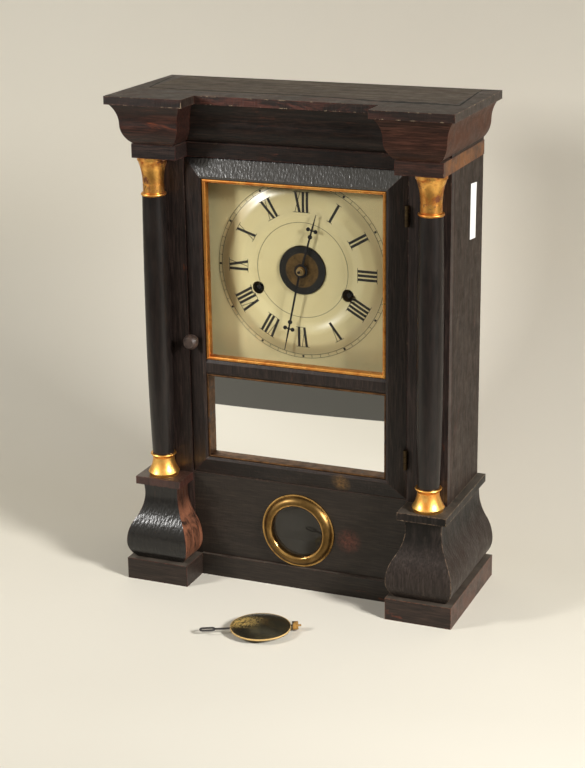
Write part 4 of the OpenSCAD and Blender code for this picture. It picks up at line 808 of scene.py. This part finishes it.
dial_paint, tree, shader, place = start_finish("dial_cream")
tone = clouds(tree, place, 18, 5, 0.55)
colour = blended(tree, between(tree, tone, 0.3, 0.7), linear(238, 227, 178), linear(229, 215, 163))
foxing = clouds(tree, place, 60, 7, 0.7)
colour = blended(tree, between(tree, foxing, 0.62, 0.8, 0, 0.35), colour, linear(176, 156, 108))
tree.links.new(colour, shader.inputs["Base Color"])
tree.links.new(between(tree, foxing, 0.3, 0.7, 0.26, 0.36), shader.inputs["Roughness"])
shader.inputs["Coat Weight"].default_value = 0.4
shader.inputs["Coat Roughness"].default_value = 0.23
dial_lo, dial_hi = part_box("dial_plate")
dial_middle = (dial_lo + dial_hi) / 2
# The ring is pressed in the plate's own mesh. This only rounds how its crest takes the light.
crest_r, crest_flat, crest_end, crest_rise = 57 * MM, 3 * MM, 15 * MM, 2.7 * MM
out = from_axis(tree, place, (0, 0, dial_middle.z))
off_crest = maths(tree, "ABSOLUTE", maths(tree, "SUBTRACT", out, crest_r))
crown = put(tree, "MapRange", {"Value": off_crest, 1: crest_flat, 2: crest_end, 3: 1.0, 4: 0.0},
            interpolation_type="SMOOTHSTEP")
pressed = put(tree, "Bump", {"Strength": 1.0, "Distance": crest_rise, "Height": crown})
bump = put(tree, "Bump", {"Strength": 0.12, "Distance": 0.1 * MM, "Height": tone, "Normal": pressed})
tree.links.new(bump, shader.inputs["Normal"])
tree.links.new(bump, shader.inputs["Coat Normal"])
dress(dial_paint, "dial_plate")

# Numerals and rings of the dial
# They are printed on the paint: thick and thin strokes with long hairline ends, two
# fine rings with the minute marks between them, and one fine ring further in.

print_black = two_toned("print_black", (220, 5), (26, 25, 24), (58, 54, 46), (0.45, 0.75), (0.4, 0.55))
dial_centre = Matrix.Translation((0, ahead(68), dial_middle.z))
ink_t, ink_gap = 0.05 * MM, 0.03 * MM
figure_foot, figure_head = 46.8 * MM, 63 * MM
thick, thin, hair = 2.1 * MM, 0.42 * MM, 0.38 * MM
pitch_of_strokes, past_letter = 3.35 * MM, 0.9 * MM
foot_gap_of_v = 5.2 * MM
ring_w = 0.3 * MM


def laid_strokes(name, strokes):
    """One flat figure of straight strokes, each given as its two ends and its width."""
    pieces = []
    upright = Matrix.Rotation(math.pi / 2, 4, "X")
    for (x0, z0), (x1, z1), wide in strokes:
        piece = fine_plane(name, 7)
        sized = Matrix.Diagonal((wide, math.hypot(x1 - x0, z1 - z0), 1, 1))
        lean = Matrix.Rotation(math.atan2(x1 - x0, z1 - z0), 4, "Y")
        middle = Matrix.Translation(((x0 + x1) / 2, 0, (z0 + z1) / 2))
        piece.data.transform(middle @ lean @ upright @ sized)
        pieces.append(piece)
    for piece in pieces:
        piece.select_set(True)
    bpy.context.view_layer.objects.active = pieces[0]
    if len(pieces) > 1:
        bpy.ops.object.join()
    figure = bpy.context.object
    figure.name = name
    return figure


def printed(figure):
    """Lays a flat figure on the pressed dial and gives it the thickness of the ink."""
    only_this(figure)
    wrap = figure.modifiers.new("lay", "SHRINKWRAP")
    wrap.target = frame["nodes"]["dial_plate"]
    wrap.wrap_method = "PROJECT"
    wrap.use_project_x = wrap.use_project_z = False
    wrap.use_project_y = True
    wrap.use_positive_direction = True
    wrap.offset = ink_gap
    bpy.ops.object.modifier_apply(modifier="lay")
    thicken(figure, ink_t, 1)
    figure.data.materials.clear()
    figure.data.materials.append(print_black)
    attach(figure, "case")


# In a V or an X the thick stroke leans left at its head and the thin one leans right.
numerals = ["I", "II", "III", "IIII", "V", "VI", "VII", "VIII", "IX", "X", "XI", "XII"]
letter_w = {"I": pitch_of_strokes, "V": 6.4 * MM, "X": 6.2 * MM}
for hour, letters in enumerate(numerals, start=1):
    across = sum(letter_w[c] for c in letters)
    x = -across / 2
    strokes = []
    for c in letters:
        left, right, middle = x, x + letter_w[c], x + letter_w[c] / 2
        if c == "I":
            strokes.append(((middle, figure_foot), (middle, figure_head), thick))
        if c == "V":
            strokes.append(((middle + 0.4 * MM, figure_foot), (left + 1.5 * MM, figure_head), thick))
            strokes.append(((middle, figure_foot), (right - 1.0 * MM, figure_head), thin))
        if c == "X":
            strokes.append(((right - 1.4 * MM, figure_foot), (left + 1.4 * MM, figure_head), thick))
            strokes.append(((left + 0.9 * MM, figure_foot), (right - 0.9 * MM, figure_head), thin))
        x = right
    end_w = across / 2 + past_letter
    strokes.append(((-end_w, figure_head), (end_w, figure_head), hair))
    if letters != "V":
        foot_left = -end_w + (foot_gap_of_v if letters[0] == "V" else 0)
        strokes.append(((foot_left, figure_foot), (end_w, figure_foot), hair))
    figure = laid_strokes(f"numeral_{hour:02d}", strokes)
    figure.data.transform(dial_centre @ Matrix.Rotation(math.radians(30 * hour), 4, "Y"))
    printed(figure)


def fine_ring(name, radius):
    """One printed ring, drawn as its inner circle and widened outwards."""
    centre = dial_centre.translation
    inner, outer = radius - ring_w / 2, radius + ring_w / 2
    bpy.ops.object.select_all(action="DESELECT")
    bpy.ops.mesh.primitive_circle_add(vertices=240, radius=inner, rotation=(math.pi / 2, 0, 0), location=centre)
    ring = bpy.context.object
    ring.name = name
    bpy.ops.object.transform_apply(location=True, rotation=True, scale=True)
    bpy.ops.object.mode_set(mode="EDIT")
    bpy.ops.mesh.select_all(action="SELECT")
    bpy.ops.mesh.extrude_edges_move()
    bpy.ops.transform.resize(value=(outer / inner,) * 3, center_override=centre)
    bpy.ops.mesh.select_all(action="SELECT")
    bpy.ops.mesh.normals_make_consistent(inside=False)
    bpy.ops.object.mode_set(mode="OBJECT")
    printed(ring)


for name, radius in (("minute_ring_outer", 72.3), ("minute_ring_inner", 69.4), ("hour_ring", 38.6)):
    fine_ring(name, radius * MM)

minute_mark = (0, 69.5 * MM), (0, 72.2 * MM), 0.28 * MM
five_minute_mark = (0, 69.9 * MM), (0, 71.8 * MM), 1.7 * MM
for minute in range(60):
    piece = laid_strokes(f"mark_{minute:02d}", [minute_mark if minute % 5 else five_minute_mark])
    piece.data.transform(dial_centre @ Matrix.Rotation(math.radians(6 * minute), 4, "Y"))
    printed(piece)
only_this(bpy.data.objects["mark_00"])
for minute in range(60):
    bpy.data.objects[f"mark_{minute:02d}"].select_set(True)
bpy.ops.object.join()
bpy.context.object.name = "minute_marks"
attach(bpy.context.object, "case")

# Dial pins
# Four small brass pins with domed heads hold the plate to its battens, one near each
# corner.

pin_brass = old_brass("pin_brass", (206, 164, 92), (150, 114, 62), (80, 58, 34), 0.4, 0.3)
pin_r, pin_h, pin_rounding = 1.3 * MM, 1.0 * MM, 0.45 * MM
pin_from_edge, pin_y = 3 * MM, ahead(65.1)
pin = round_head(24, pin_r, pin_h, pin_rounding, 4)
pin.data.materials.append(pin_brass)
pin_out = (dial_hi.x - dial_lo.x) / 2 - pin_from_edge
for number, (side, rise) in enumerate(((-1, -1), (1, -1), (-1, 1), (1, 1)), start=1):
    corner = Matrix.Translation((side * pin_out, pin_y, dial_middle.z + rise * pin_out))
    copy = copied(pin, f"dial_pin_{number}", corner)
    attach(copy, "case")
bpy.data.objects.remove(pin)

# Alarm disc
# A brass disc in the middle of the dial with a blackened ring round it. The maker
# turned it smooth, and handling keeps its middle bright.

disc_brass, tree, shader, place = start_finish("alarm_disc_brass")
haze = clouds(tree, place, 160, 6, 0.6, 0.4)
brass_tone = blended(tree, between(tree, haze, 0.35, 0.65), linear(142, 114, 74), linear(78, 63, 45))
black_from, black_full = 13.6 * MM, 14.1 * MM
from_hub = from_axis(tree, place, (0, 0, dial_middle.z))
ring = between(tree, from_hub, black_from, black_full)
black = blended(tree, haze, linear(16, 16, 16), linear(30, 30, 29))
tree.links.new(blended(tree, ring, brass_tone, black), shader.inputs["Base Color"])
tree.links.new(between(tree, ring, 0, 1, 1.0, 0.0), shader.inputs["Metallic"])
shader.inputs["Specular IOR Level"].default_value = 0.25
dulled = between(tree, ring, 0, 1, 0.0, 0.15)
tree.links.new(maths(tree, "ADD", between(tree, haze, 0.3, 0.7, 0.3, 0.5), dulled), shader.inputs["Roughness"])
turning = put(tree, "TexWave", {"Vector": from_hub, "Scale": 420.0, "Distortion": 0.6}, 1)
bump = put(tree, "Bump", {"Strength": 0.3, "Distance": 0.1 * MM, "Height": turning})
tree.links.new(bump, shader.inputs["Normal"])
dress(disc_brass, "alarm_disc")
